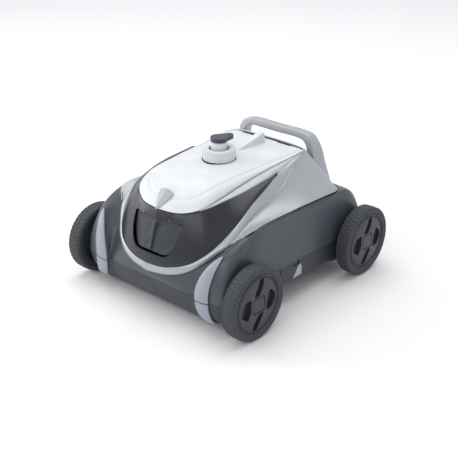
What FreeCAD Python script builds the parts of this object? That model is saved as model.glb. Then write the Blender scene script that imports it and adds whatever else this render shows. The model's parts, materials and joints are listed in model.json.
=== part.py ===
import FreeCAD, Part
import math
import os
import Sketcher

# Four-wheeled robotic pool cleaner, in millimetres.
# The origin is on the floor under the middle of the machine: +Z up, the front faces -Y.

Vector = FreeCAD.Vector
Rotation = FreeCAD.Rotation
Placement = FreeCAD.Placement

doc = FreeCAD.newDocument("PoolCleaner")
sheet = doc.addObject("Spreadsheet::Sheet", "Sizes")


# ---------------------------------------------------------------- driving dimensions

class Dim:
    """A size that knows its number and the sheet expression it comes from."""

    def __init__(self, value, text):
        self.value = float(value)
        self.text = text

    def __add__(self, other):
        other = dim(other)
        return Dim(self.value + other.value, f"({self.text} + {other.text})")

    def __radd__(self, other):
        return dim(other) + self

    def __sub__(self, other):
        other = dim(other)
        return Dim(self.value - other.value, f"({self.text} - {other.text})")

    def __rsub__(self, other):
        return dim(other) - self

    def __mul__(self, other):
        other = dim(other)
        return Dim(self.value * other.value, f"({self.text} * {other.text})")

    def __rmul__(self, other):
        return dim(other) * self

    def __truediv__(self, other):
        other = dim(other)
        return Dim(self.value / other.value, f"({self.text} / {other.text})")

    def __neg__(self):
        return Dim(-self.value, f"(-1 * {self.text})")


def dim(value):
    if isinstance(value, Dim):
        return value
    return Dim(value, repr(round(float(value), 6)))


rows_used = 0


def size(alias, value, meaning):
    """Write one driving dimension into the sheet and return it."""
    global rows_used
    rows_used += 1
    sheet.set(f"A{rows_used}", meaning)
    sheet.set(f"B{rows_used}", str(value))
    sheet.setAlias(f"B{rows_used}", alias)
    return Dim(value, f"Sizes.{alias}")


# Wheels and running gear
wheel_radius = size("wheel_radius", 60, "tread radius")
wheel_width = size("wheel_width", 26, "tyre width")
track_width = size("track_width", 370, "over the wheels' outer faces")
wheelbase = size("wheelbase", 286, "front axle to rear axle")
hub_radius = size("hub_radius", 49, "seat of the tyre on the hub")
hub_rim = size("hub_rim", 6, "radial thickness of the hub's rim")
hub_disc = size("hub_disc", 8, "thickness of the hub's disc")
hub_recess = size("hub_recess", 6, "disc face below the tyre's side")
cap_side = size("cap_side", 24, "square centre cap")
cap_thick = size("cap_thick", 3.5, "centre cap thickness")
axle_radius = size("axle_radius", 5, "axle")
running_gap = size("running_gap", 0.05, "radial clearance of a shaft in its hole")
bearing_radius = size("bearing_radius", 9, "outside of the axle bearing")
bearing_length = size("bearing_length", 8.5, "length of the axle bearing")
gear_module = size("gear_module", 1.25, "module of the drive gears")
gear_teeth = 24
pinion_teeth = 12
gear_width = size("gear_width", 6.5, "face width of the drive gears")
gear_wall_x = size("gear_wall_x", 128, "inner face of the wall behind the gears")
motor_radius = size("motor_radius", 17, "drive motor")
motor_length = size("motor_length", 62, "drive motor")
motor_shaft_radius = size("motor_shaft_radius", 2.5, "drive motor's shaft")

# Hull
hull_half = size("hull_half", 150, "half width over the side panels")
hull_nose = size("hull_nose", 45, "front axle to the tray's front face")
hull_tail = size("hull_tail", 43, "rear axle to the tray's rear face")
belly_half = size("belly_half", 110, "half width of the deep belly")
belly_nose = size("belly_nose", 32, "front axle to the belly's front face")
belly_tail = size("belly_tail", 33, "rear axle to the belly's rear face")
belly_floor = size("belly_floor", 15, "height of the belly's underside")
skirt_height = size("skirt_height", 38, "height of the side panels' lower edge")
tray_top = size("tray_top", 72, "seam between the tray and the chassis")
deck_height = size("deck_height", 157, "height of the chassis' top edge")
deck_half = size("deck_half", 141.5, "half width at the chassis' top edge")
wall = size("wall", 3, "moulded wall")

# Pod: upper shell, front panel and lid
pod_front = size("pod_front", 197.5, "centre to the pod's nose")
pod_top = size("pod_top", 214, "height of the lid's flat crown")
lid_hinge_y = size("lid_hinge_y", 99, "lid hinge axis")
lid_hinge_z = size("lid_hinge_z", 205.5, "lid hinge axis")
lid_pin_radius = size("lid_pin_radius", 2, "lid hinge pin")
seam_gap = size("seam_gap", 0.5, "gap between the lid and the shell")
fin_top = size("fin_top", 230.5, "top of the fin behind the dial")
handle_top = size("handle_top", 232.5, "top of the carry handle")
handle_bar = size("handle_bar", 14.5, "height of the handle's bar")
handle_front = size("handle_front", 115, "front face of the handle")
handle_depth = size("handle_depth", 23, "handle depth, front to back")

# Dial on the lid
dial_y = size("dial_y", -27, "dial axis")
collar_radius = size("collar_radius", 27, "knurled collar")
collar_bore = size("collar_bore", 17.4, "opening of the collar")
collar_height = size("collar_height", 17, "collar height")
stem_radius = size("stem_radius", 13, "white stem")
stem_shaft_radius = size("stem_shaft_radius", 6, "stem's shaft in the lid")
pointer_base = size("pointer_base", 243.5, "underside of the pointer")
pointer_thick = size("pointer_thick", 6.5, "pointer thickness")
pointer_reach = size("pointer_reach", 27, "dial axis to the pointer's tip")

# Outlet flap
flap_top = size("flap_top", 155, "upper edge of the outlet flap")
flap_bottom = size("flap_bottom", 104, "lower edge of the outlet flap")
flap_half_top = size("flap_half_top", 48, "half width at the upper edge")
flap_half_bottom = size("flap_half_bottom", 33, "half width at the lower edge")
flap_gap = size("flap_gap", 1.1, "gap round the flap")
flap_hinge_y = size("flap_hinge_y", -166, "flap hinge axis")
flap_hinge_rise = size("flap_hinge_rise", 2.4, "flap hinge axis above the flap's upper edge")
flap_pin_radius = size("flap_pin_radius", 1.2, "flap hinge pin")

# Side latches
latch_front = size("latch_front", -49, "front end of the side latch")
latch_rear = size("latch_rear", 30, "rear end of the side latch")
latch_thick = size("latch_thick", 4, "side latch thickness")
latch_pivot_z = size("latch_pivot_z", 42, "side latch pivot")
latch_pin_radius = size("latch_pin_radius", 1, "side latch pin")

# Suction mouth, filter, pump, battery and electronics
mouth_half = size("mouth_half", 45, "half width of the suction mouth")
mouth_depth = size("mouth_depth", 40, "front to back of the suction mouth")
plate_thick = size("plate_thick", 3.5, "suction plate thickness")
plate_half = size("plate_half", 92, "half width of the suction plate")
plate_depth = size("plate_depth", 150, "front to back of the suction plate")
basket_half = size("basket_half", 66, "half width of the filter basket")
basket_front = size("basket_front", -58, "front face of the filter basket")
basket_rear = size("basket_rear", 76, "rear face of the filter basket")
basket_floor = size("basket_floor", 46, "underside of the filter basket")
basket_top = size("basket_top", 188, "top of the filter basket")
basket_post = size("basket_post", 8, "corner post of the basket")
duct_radius = size("duct_radius", 34, "outside of the pump duct")
duct_wall = size("duct_wall", 2.5, "wall of the pump duct")
duct_z = size("duct_z", 128, "height of the pump's axis")
duct_front = size("duct_front", -152, "front end of the pump duct")
duct_rear = size("duct_rear", -78, "rear end of the pump duct")
blade_gap = size("blade_gap", 2.5, "impeller blades to the duct's bore")
pump_shaft_radius = size("pump_shaft_radius", 3, "pump shaft")
cell_radius = size("cell_radius", 9, "battery cell")
cell_length = size("cell_length", 65, "battery cell")
cell_pitch = size("cell_pitch", 19, "battery cell spacing")
battery_front = size("battery_front", 90, "front face of the battery case")
case_half = size("case_half", 60, "half width of the electronics case")
screw_radius = size("screw_radius", 2, "screw shank")
screw_head = size("screw_head", 3.6, "screw head")

doc.recompute()

half_base = wheelbase / 2
hull_front = half_base + hull_nose
hull_rear = half_base + hull_tail
belly_front = half_base + belly_nose
belly_rear = half_base + belly_tail
impeller_radius = duct_radius - duct_wall - blade_gap
wheel_mid_x = track_width / 2 - wheel_width / 2
gear_pitch_radius = gear_module * gear_teeth / 2
gear_tip_radius = gear_pitch_radius + gear_module
gear_x = gear_wall_x + wall + 2
pinion_pitch_radius = gear_module * pinion_teeth / 2
motor_y = half_base - gear_pitch_radius - pinion_pitch_radius
flap_hinge_z = flap_top + flap_hinge_rise

SIDES = (("left", -1), ("right", 1))
CORNERS = (("front_left", -1, -1), ("front_right", 1, -1), ("rear_left", -1, 1), ("rear_right", 1, 1))

nodes = []          # every sub-part, in the order it is made


# ---------------------------------------------------------------- helpers

def node(shape_object, label):
    """Mark a document object as a finished sub-part; its Label names its file."""
    shape_object.Label = label
    nodes.append(shape_object)
    return shape_object


def bind(target, path, value):
    target.setExpression(path, dim(value).text)


def box(name, x0, x1, y0, y1, z0, z1):
    block = doc.addObject("Part::Box", name)
    for path, low, high in (("Length", x0, x1), ("Width", y0, y1), ("Height", z0, z1)):
        bind(block, path, dim(high) - low)
    for axis, low in (("x", x0), ("y", y0), ("z", z0)):
        bind(block, f"Placement.Base.{axis}", low)
    return block


TURNS = {"X": Rotation(Vector(0, 1, 0), 90), "Y": Rotation(Vector(1, 0, 0), -90), "Z": Rotation()}


def rod(name, axis, x, y, z, radius, length):
    """A cylinder that starts at x, y, z and runs along an axis."""
    cylinder = doc.addObject("Part::Cylinder", name)
    cylinder.Placement = Placement(Vector(), TURNS[axis])
    bind(cylinder, "Radius", radius)
    bind(cylinder, "Height", length)
    for letter, start in (("x", x), ("y", y), ("z", z)):
        bind(cylinder, f"Placement.Base.{letter}", start)
    return cylinder


def outline(sketch, points):
    """A closed polygon whose corners are bound to the sheet."""
    points = [(dim(a), dim(b)) for a, b in points]
    count = len(points)
    first = sketch.GeometryCount
    for index, (a, b) in enumerate(points):
        c, d = points[(index + 1) % count]
        sketch.addGeometry(Part.LineSegment(Vector(a.value, b.value, 0), Vector(c.value, d.value, 0)), False)
    for index in range(count):
        after = first + (index + 1) % count
        sketch.addConstraint(Sketcher.Constraint("Coincident", first + index, 2, after, 1))
    for index, corner in enumerate(points):
        for kind, value in zip(("DistanceX", "DistanceY"), corner):
            made = sketch.addConstraint(Sketcher.Constraint(kind, -1, 1, first + index, 1, value.value))
            bind(sketch, f"Constraints[{made}]", value)


def ring(sketch, a, b, radius):
    """A circle whose centre and radius are bound to the sheet."""
    a, b, radius = dim(a), dim(b), dim(radius)
    centre = Vector(a.value, b.value, 0)
    circle = sketch.addGeometry(Part.Circle(centre, Vector(0, 0, 1), radius.value), False)
    for kind, value in (("DistanceX", a), ("DistanceY", b)):
        made = sketch.addConstraint(Sketcher.Constraint(kind, -1, 1, circle, 3, value.value))
        bind(sketch, f"Constraints[{made}]", value)
    made = sketch.addConstraint(Sketcher.Constraint("Radius", circle, radius.value))
    bind(sketch, f"Constraints[{made}]", radius)


# A sketch plane seen as (sketch x, sketch y, extrusion direction) in the machine's axes
PLANES = {
    "YZ": Rotation(Vector(0, 1, 0), Vector(0, 0, 1), Vector(1, 0, 0), "ZXY"),
    "XZ": Rotation(Vector(1, 0, 0), Vector(0, 0, 1), Vector(0, -1, 0), "ZXY"),
    "XY": Rotation(),
}


def prism(name, plane, points, low, high):
    """A polygon on a plane, pushed from one distance to another along the plane's normal."""
    sketch = doc.addObject("Sketcher::SketchObject", f"{name}_sketch")
    sketch.Placement = Placement(Vector(), PLANES[plane])
    outline(sketch, points)
    push = doc.addObject("Part::Extrusion", name)
    push.Base = sketch
    push.DirMode = "Normal"
    push.Solid = True
    bind(push, "LengthFwd", high)
    bind(push, "LengthRev", -dim(low))
    return push


def fuse(name, pieces):
    joined = doc.addObject("Part::MultiFuse", name)
    joined.Shapes = pieces
    joined.Refine = True
    return joined


def common(name, pieces):
    shared = doc.addObject("Part::MultiCommon", name)
    shared.Shapes = pieces
    return shared


def cut(name, base, tools):
    tool = tools[0]
    if len(tools) > 1:
        tool = fuse(f"{name}_tools", tools)
    result = doc.addObject("Part::Cut", name)
    result.Base = base
    result.Tool = tool
    return result


def group(name, pieces):
    """Separate solids that share one node, such as a set of screws."""
    bundle = doc.addObject("Part::Compound", name)
    bundle.Links = pieces
    return bundle


def body(label):
    return node(doc.addObject("PartDesign::Body", label), label)


def sketch_on(owner, name, role, offset=0):
    """A sketch on one of a body's own origin planes."""
    sketch = owner.newObject("Sketcher::SketchObject", name)
    plane = [feature for feature in owner.Origin.OriginFeatures if feature.Role == role][0]
    sketch.AttachmentSupport = (plane, [""])
    sketch.MapMode = "FlatFace"
    bind(sketch, "AttachmentOffset.Base.z", offset)
    return sketch


def revolve(owner, name, points):
    """A profile in the body's XZ plane, turned about its Z axis."""
    sketch = sketch_on(owner, f"{name}_sketch", "XZ_Plane")
    outline(sketch, points)
    turned = owner.newObject("PartDesign::Revolution", name)
    turned.Profile = sketch
    turned.ReferenceAxis = (sketch, ["V_Axis"])
    turned.Angle = 360
    return turned


def pad(owner, name, sketch, length):
    feature = owner.newObject("PartDesign::Pad", name)
    feature.Profile = sketch
    bind(feature, "Length", length)
    return feature


def pocket_through(owner, name, sketch):
    feature = owner.newObject("PartDesign::Pocket", name)
    feature.Profile = sketch
    feature.Type = "ThroughAll"
    feature.Midplane = True
    return feature


def around(owner, name, feature, count):
    """Repeat a feature evenly about the body's Z axis."""
    pattern = owner.newObject("PartDesign::PolarPattern", name)
    pattern.Originals = [feature]
    pattern.Axis = (feature.Profile[0], ["N_Axis"])
    pattern.Angle = 360
    pattern.Occurrences = count
    owner.Tip = pattern
    return pattern


def place(target, turn, x, y, z):
    """Turn a sub-part and bind its position to the sheet."""
    target.Placement = Placement(Vector(), turn)
    for letter, value in (("x", x), ("y", y), ("z", z)):
        bind(target, f"Placement.Base.{letter}", value)


def facing(side):
    """A body's own +Z points away from the machine on either side."""
    return Rotation(Vector(0, 1, 0), 90 * side)


def span(side, near, far):
    """Low and high x of a piece on one side, from its distances to the centre plane."""
    if side > 0:
        return near, far
    return -dim(far), -dim(near)


# ---------------------------------------------------------------- the pod's solids

def pod_section(z, half, front, nose, rear, tail):
    """A closed outline at one height: elliptic nose and tail joined by straight sides."""
    nose_centre = Vector(0, front + nose, z)
    tail_centre = Vector(0, rear - tail, z)
    sides = [Vector(half, nose_centre.y, z), Vector(half, tail_centre.y, z),
             Vector(-half, tail_centre.y, z), Vector(-half, nose_centre.y, z)]

    def half_ellipse(centre, depth, start, end):
        apex = centre + Vector(0, depth, 0)
        if abs(depth) > half:
            curve = Part.Ellipse(apex, centre + Vector(half, 0, 0), centre)
        else:
            curve = Part.Ellipse(centre + Vector(half, 0, 0), apex, centre)
        first, last = curve.parameter(start), curve.parameter(end)
        if last <= first:
            last += 2 * math.pi
        arc = curve.toShape(first, last)
        if arc.valueAt((arc.FirstParameter + arc.LastParameter) / 2).y * depth < centre.y * depth:
            first, last = curve.parameter(end), curve.parameter(start)
            if last <= first:
                last += 2 * math.pi
            arc = curve.toShape(first, last)
        return arc

    return Part.Wire([
        half_ellipse(nose_centre, -nose, sides[3], sides[0]),
        Part.makeLine(sides[0], sides[1]),
        half_ellipse(tail_centre, tail, sides[1], sides[2]),
        Part.makeLine(sides[2], sides[3]),
    ])


def pod_solid(name, inset):
    """The pod's outer form, or its hollow when it is inset by the wall."""
    nose_y = -pod_front.value
    top = pod_top.value
    deck = deck_height.value
    # height, half width, front y, nose depth, rear y, tail depth
    stations = [
        (tray_top.value - 2, deck_half.value - 15.5, nose_y, 100, 146, 44),
        (deck - 21, deck_half.value - 6.5, nose_y + 18.5, 102, 146, 44),
        (deck, deck_half.value - 2.5, nose_y + 26, 100, 146, 44),
        (deck + 15, 120, nose_y + 31.5, 92, 138, 40),
        (top - 24, 97, nose_y + 47.5, 72, 125, 36),
        (top - 10, 81, nose_y + 74, 70, 112, 30),
        (top - 4, 68, nose_y + 98, 64, 103, 26),
        (top, 42, nose_y + 133, 46, 84, 20),
    ]
    last = len(stations) - 1
    sections = []
    for index, (z, half, front, nose, rear, tail) in enumerate(stations):
        if index == last:
            z -= inset
        sections.append(pod_section(z, half - inset, front + inset, nose, rear - inset, tail))
    form = doc.addObject("Part::Feature", name)
    form.Shape = Part.makeLoft(sections, True, True)
    return form


def pod_wall(name):
    """One moulding of the pod before it is divided: the outer form less its hollow."""
    return cut(name, pod_solid(f"{name}_outer", 0), [pod_solid(f"{name}_inner", wall.value)])


# The lid's lower edge in side view rises from the nose to the hinge.
LID_EDGE = [(-168, 169.5), (-150, 181.5), (-130, 188), (-84, 196), (-36, 202.6), (9, 207), (71, 211),
            (99, 213)]
# The front panel's upper edge runs below the lid's and ends in a point beside the dial.
PANEL_TOP = [(12, 199.5), (-37, 196), (-80, 191.5), (-120, 186.5), (-150, 180.5), (-168, 169)]
# Its lower edge is a slanting plane that turns level towards the point.
PANEL_LOW = [(-199, 86.2), (-93, 176.7), (-60, 183), (-12, 190)]
# The shell's lower edge: a slanting plane up to the deck, then level.
SHELL_LOW = [(-199, 72.1), (-114, 156.7), (92, 153), (160, 126)]


def lid_zone(name, lift):
    """Everything above the lid's edge, raised by lift."""
    points = [(y, dim(z) + lift) for y, z in LID_EDGE]
    points += [(150, LID_EDGE[-1][1] + 1), (150, 260), (-240, 260), (-240, LID_EDGE[0][1] + dim(lift))]
    return prism(name, "YZ", points, -200, 200)


# ---------------------------------------------------------------- hull

def make_tray():
    """The open tub: side panels, a deep belly, bearing bosses and gear walls."""
    outer = fuse("tray_outer", [
        box("tray_rim", -hull_half, hull_half, -hull_front, hull_rear, skirt_height, tray_top),
        box("tray_belly", -belly_half, belly_half, -belly_front, belly_rear, belly_floor,
            skirt_height + wall),
    ])
    hollow = fuse("tray_hollow", [
        box("tray_rim_space", wall - hull_half, hull_half - wall, wall - hull_front, hull_rear - wall,
            skirt_height + wall, tray_top + wall),
        box("tray_belly_space", wall - belly_half, belly_half - wall, wall - belly_front,
            belly_rear - wall, belly_floor + wall, tray_top),
    ])
    tub = cut("tray_tub", outer, [hollow])
    added = [tub]
    removed = [box("tray_mouth", 6 - plate_half, plate_half - 6, 6 - plate_depth / 2, plate_depth / 2 - 6,
                   belly_floor - wall, belly_floor + 2 * wall)]
    for name, side, end in CORNERS:
        low, high = span(side, hull_half - bearing_length - 0.5, hull_half)
        added.append(rod(f"tray_boss_{name}", "X", low, end * half_base, wheel_radius,
                         bearing_radius + wall, high - dim(low)))
        removed.append(rod(f"tray_bore_{name}", "X", low - wall, end * half_base, wheel_radius,
                           bearing_radius, high - dim(low) + 2 * wall))
    for name, side in SIDES:
        low, high = span(side, gear_wall_x, gear_wall_x + wall)
        added.append(box(f"tray_gear_wall_{name}", low, high, motor_y - motor_radius, half_base + 15,
                         skirt_height + 1, tray_top - 1))
        inner, outer = span(side, gear_x - 1, gear_x + gear_width + 0.5)
        removed.append(rod(f"tray_gear_recess_{name}", "X", inner, half_base, wheel_radius,
                           gear_tip_radius + 1, outer - dim(inner)))
        removed.append(rod(f"tray_axle_hole_{name}", "X", low - 1, half_base, wheel_radius,
                           axle_radius + running_gap, wall + 2))
        removed.append(rod(f"tray_pinion_hole_{name}", "X", low - 1, motor_y, wheel_radius,
                           motor_shaft_radius + 0.7, wall + 2))
        backing = 2.2
        low, high = span(side, hull_half - latch_thick - backing - wall, hull_half - wall)
        added.append(box(f"tray_latch_back_{name}", low, high, latch_front - 6, latch_rear + 6,
                         skirt_height + 1, tray_top - 0.5))
        low, high = span(side, hull_half - latch_thick - backing, hull_half + 1)
        removed.append(box(f"tray_latch_pocket_{name}", low, high, latch_front - 0.7, latch_rear + 0.7,
                           latch_pivot_z - latch_thick / 2 - 0.4, tray_top + 1))
        removed.append(rod(f"tray_latch_hole_{name}", "Y", side * (hull_half - latch_thick / 2),
                           latch_front - 4, latch_pivot_z, latch_pin_radius, latch_rear - latch_front + 8))
    for index, (x, y) in enumerate(screw_places()):
        added.append(rod(f"tray_screw_boss_{index}", "Z", x, y, belly_floor, 5, 12))
        removed.append(rod(f"tray_screw_hole_{index}", "Z", x, y, belly_floor - 1, screw_radius, 11))
    node(cut("lower_tray", fuse("tray_solid", added), removed), "lower_tray")


def screw_places():
    """Six screws, three down each side of the suction plate."""
    reach = plate_half - 3
    for side in (-1, 1):
        for step in (-1, 0, 1):
            yield side * reach, step * (plate_depth / 2 - 8)


def make_suction_plate():
    """The bottom cover with its mouth and the short chute that leads up to the filter."""
    low = belly_floor - plate_thick
    lip = 2.5
    half_depth = mouth_depth / 2
    solid = fuse("plate_solid", [
        box("plate_sheet", -plate_half - 5, plate_half + 5, -plate_depth / 2, plate_depth / 2, low,
            belly_floor),
        box("plate_chute", -mouth_half - lip, mouth_half + lip, -half_depth - lip, half_depth + lip,
            low, basket_floor),
    ])
    mouth = box("plate_mouth", -mouth_half, mouth_half, -half_depth, half_depth, low - 1, basket_floor + 1)
    removed = [mouth]
    for index, (x, y) in enumerate(screw_places()):
        removed.append(rod(f"plate_head_hole_{index}", "Z", x, y, low - 1, screw_head, 1 + plate_thick / 2))
        removed.append(rod(f"plate_shank_hole_{index}", "Z", x, y, low, screw_radius, plate_thick + 1))
    for end, sign in (("front", -1), ("rear", 1)):
        removed.append(rod(f"plate_flap_hole_{end}", "X", -mouth_half - lip - 1, sign * (half_depth - 2.2),
                           belly_floor + 5, 1.05, 2 * (mouth_half + lip + 1)))
    node(cut("suction_plate", solid, removed), "suction_plate")


def make_screws():
    """Six screws with flat heads, let into the suction plate."""
    screws = []
    low = belly_floor - plate_thick
    for index, (x, y) in enumerate(screw_places()):
        screws.append(fuse(f"screw_{index}", [
            rod(f"screw_head_{index}", "Z", x, y, low, screw_head, plate_thick / 2),
            rod(f"screw_shank_{index}", "Z", x, y, low, screw_radius, plate_thick + 9),
        ]))
    node(group("bottom_screws", screws), "bottom_screws")


def make_inlet_flaps():
    """Two flaps that close the mouth when the pump stops; each turns on its own trunnions."""
    hinge = mouth_depth / 2 - 2.2
    level = belly_floor + 5
    half = mouth_half - 0.6
    for end, sign, low, high in (("front", -1, -hinge, -0.4), ("rear", 1, 0.4, hinge)):
        leaf = box(f"flap_leaf_{end}", -half, half, low, high, level - 0.8, level + 0.8)
        barrel = rod(f"flap_barrel_{end}", "X", -half, sign * hinge, level, 1.6, 2 * half)
        trunnion = rod(f"flap_trunnion_{end}", "X", -mouth_half - 2, sign * hinge, level, 1,
                       2 * mouth_half + 4)
        node(fuse(f"inlet_flap_{end}", [leaf, barrel, trunnion]), f"inlet_flap_{end}")


def chassis_form(name, inset):
    """The chassis between its side view and its front view, both set in by inset."""
    top = deck_height - inset
    low = tray_top - (1 if inset else 0)
    side_view = [
        (inset - hull_front - 6, low), (inset - hull_front - 4, top - 24), (inset - hull_front + 4, top - 9),
        (inset - 150, top - 3), (-86, top + 1), (60, top - 2), (102, top - 5), (153 - inset, top - 18),
        (172 - inset, top - 42), (hull_rear - inset, low),
    ]
    front_view = [(inset - hull_half, low), (hull_half - inset, low), (deck_half - inset, deck_height + 2),
                  (inset - deck_half, deck_height + 2)]
    return common(name, [
        prism(f"{name}_side", "YZ", side_view, -hull_half, hull_half),
        prism(f"{name}_front", "XZ", front_view, -250, 250),
    ])


def chassis_scoop(name, inset):
    """The hood between the fenders: the space above the slanting plane that the pod's rim follows."""
    (y0, z0), (y1, z1) = SHELL_LOW[:2]
    return prism(name, "YZ", [(y0, z0 - inset), (y1, z1 - 1 - inset), (y1, 200), (y0 - 30, 200),
                              (y0 - 30, z0 - inset)],
                 -112 - inset, 112 + inset)


def make_chassis():
    """The dark upper chassis, open below and where the pod drops in."""
    outer = cut("chassis_outer", chassis_form("chassis_skin", 0), [chassis_scoop("chassis_hood", 0)])
    inner = cut("chassis_inner", chassis_form("chassis_space", wall.value),
                [chassis_scoop("chassis_hood_space", 1.4 * wall.value)])
    shell = cut("chassis_shell", outer, [inner])
    node(cut("upper_chassis", shell, [pod_solid("chassis_pod_space", 0)]), "upper_chassis")


def make_trims():
    """Light trims wrapped round the front fenders, split by a seam."""
    inner, outer = 104, hull_half + 1
    face = -hull_front - 11
    seam = 61
    for name, side in SIDES:
        upper = [(side * inner, seam + 0.4), (side * (inner + 4), 92), (side * 122, 124), (side * 140, 140),
                 (side * outer, 134), (side * outer, seam + 0.4)]
        lower = [(side * inner, seam - 0.4), (side * inner, 44), (side * (inner + 10), 24), (side * 138, 20),
                 (side * outer, 34), (side * outer, seam - 0.4)]
        if side < 0:
            upper.reverse()
            lower.reverse()
        blank = prism(f"trim_upper_blank_{name}", "XZ", upper, hull_front - 12, -face)
        trimmed = cut(f"trim_upper_{name}", blank, [
            chassis_form(f"trim_chassis_space_{name}", 0),
            box(f"trim_tray_space_{name}", -hull_half, hull_half, -hull_front, 0, skirt_height, tray_top),
        ])
        node(trimmed, f"fender_trim_upper_{name}")
        blank = prism(f"trim_lower_blank_{name}", "XZ", lower, hull_front - 8, -face)
        trimmed = cut(f"trim_lower_{name}", blank, [
            box(f"trim_rim_space_{name}", -hull_half, hull_half, -hull_front, 0, skirt_height, tray_top)])
        node(trimmed, f"fender_trim_lower_{name}")


def make_side_latches():
    """A flush latch in each side panel, turning out about a pin near its lower edge."""
    pins = []
    length = latch_rear - latch_front
    for name, side in SIDES:
        middle = side * (hull_half - latch_thick / 2)
        low, high = span(side, hull_half - latch_thick, hull_half)
        plate = box(f"latch_plate_{name}", low, high, latch_front, latch_rear, latch_pivot_z, tray_top - 0.5)
        barrel = rod(f"latch_barrel_{name}", "Y", middle, latch_front, latch_pivot_z, latch_thick / 2, length)
        bore = rod(f"latch_bore_{name}", "Y", middle, latch_front - 1, latch_pivot_z,
                   latch_pin_radius + running_gap, length + 2)
        low, high = span(side, hull_half - 1.5, hull_half + 1)
        grip = box(f"latch_grip_{name}", low, high, latch_front + 30, latch_front + 48, tray_top - 9,
                   tray_top)
        solid = fuse(f"latch_solid_{name}", [plate, barrel])
        node(cut(f"side_latch_{name}", solid, [bore, grip]), f"side_latch_{name}")
        pins.append(rod(f"latch_pin_{name}", "Y", middle, latch_front - 4, latch_pivot_z, latch_pin_radius,
                        length + 8))
    node(group("latch_pins", pins), "latch_pins")


# ---------------------------------------------------------------- pod mouldings

def make_shell():
    """The silver shell: the pod's wall below the lid and round the front panel, with hinge ribs."""
    zone = prism("shell_zone", "YZ", SHELL_LOW + [(160, 260), (-240, 260), (-240, 72.1)], -200, 200)
    wall_part = common("shell_wall", [pod_wall("shell_pod"), zone])
    panel_side = PANEL_LOW + PANEL_TOP + [(-240, 169), (-240, 86.2)]
    panel_space = prism("shell_panel_space", "YZ", panel_side, -200, 200)
    slots = []
    for name, side in SIDES:
        low, high = span(side, 22, 54)
        slots.append(box(f"shell_slot_{name}", low, high, 58, lid_hinge_y + 9, lid_hinge_z - 12, pod_top + 5))
    opened = cut("shell_opened", wall_part, [panel_space, lid_zone("shell_lid_space", 0)] + slots)
    ribs = []
    for index, (low, high) in enumerate(((-64, -56), (-8, 8), (56, 64))):
        ribs.append(box(f"hinge_rib_{index}", low, high, lid_hinge_y - 5, lid_hinge_y + 7, lid_hinge_z - 14,
                        lid_hinge_z + 6))
    inside = common("hinge_ribs_inside", [fuse("hinge_ribs", ribs), pod_solid("rib_limit", wall.value / 2)])
    ribbed = fuse("shell_ribbed", [opened, cut("hinge_ribs_low", inside, [lid_zone("rib_lid_space", -3.5)])])
    pin_hole = rod("shell_pin_hole", "X", -70, lid_hinge_y, lid_hinge_z, lid_pin_radius, 140)
    node(cut("upper_shell", ribbed, [pin_hole]), "upper_shell")


def make_front_panel():
    """The gloss panel that wraps the front, with the opening for the outlet flap."""
    zone = prism("panel_zone", "YZ", PANEL_LOW + PANEL_TOP, -200, 200)
    opening = prism("panel_opening", "XZ", flap_outline(flap_gap, 5.5), 130, 240)
    ears = []
    for name, side in SIDES:
        low, high = span(side, 22, 30)
        ears.append(box(f"panel_ear_{name}", low, high, flap_hinge_y - 1.7, flap_hinge_y + 5, flap_top + 0.9,
                        flap_top + 9))
    pin_hole = rod("panel_pin_hole", "X", -34, flap_hinge_y, flap_hinge_z, flap_pin_radius, 68)
    panel = cut("panel_open", common("panel_wall", [pod_wall("panel_pod"), zone]), [opening])
    node(cut("front_panel", fuse("panel_eared", [panel] + ears), [pin_hole]), "front_panel")


def flap_outline(grow, head_room):
    """The flap's outline seen from the front, grown on each side, with room for the hinge above it."""
    shoulder_z = flap_bottom + 21
    corner = 4
    side = flap_half_top + grow + head_room * 0.12
    return [(-flap_half_bottom - grow, flap_bottom - grow), (flap_half_bottom + grow, flap_bottom - grow),
            (flap_half_top - 3 + grow, shoulder_z), (side, flap_top - corner + head_room),
            (side - corner, flap_top + head_room), (corner - side, flap_top + head_room),
            (-side, flap_top - corner + head_room), (3 - flap_half_top - grow, shoulder_z)]


def make_outlet_flap():
    """The outlet flap with its rib; two short knuckles hang it on the pin."""
    plate_zone = prism("flap_zone", "XZ", flap_outline(0, 0), 130, 240)
    plate = common("flap_plate", [pod_wall("flap_pod"), plate_zone])
    rib_half, rib_low, rib_high = 1.2, flap_bottom + 6, flap_top - 3
    rib_view = [(-rib_half, rib_low), (rib_half, rib_low), (rib_half, rib_high), (-rib_half, rib_high)]
    rib_zone = prism("flap_rib_zone", "XZ", rib_view, 130, 240)
    rib = cut("flap_rib", common("flap_rib_form", [pod_solid("flap_rib_outer", -1.2), rib_zone]),
              [pod_solid("flap_rib_inner", 1)])
    knuckles = []
    for name, side in SIDES:
        low, high = span(side, 10, 21)
        knuckles.append(rod(f"flap_knuckle_{name}", "X", low, flap_hinge_y, flap_hinge_z, 2.2,
                            high - dim(low)))
        knuckles.append(box(f"flap_web_{name}", low, high, flap_hinge_y - 2.2, flap_hinge_y, flap_top - 6,
                            flap_hinge_z))
    bore = rod("flap_bore", "X", -34, flap_hinge_y, flap_hinge_z, flap_pin_radius + running_gap, 68)
    node(cut("outlet_flap", fuse("flap_solid", [plate, rib] + knuckles), [bore]), "outlet_flap")
    node(rod("flap_pin", "X", -32, flap_hinge_y, flap_hinge_z, flap_pin_radius, 64), "flap_pin")


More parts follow.
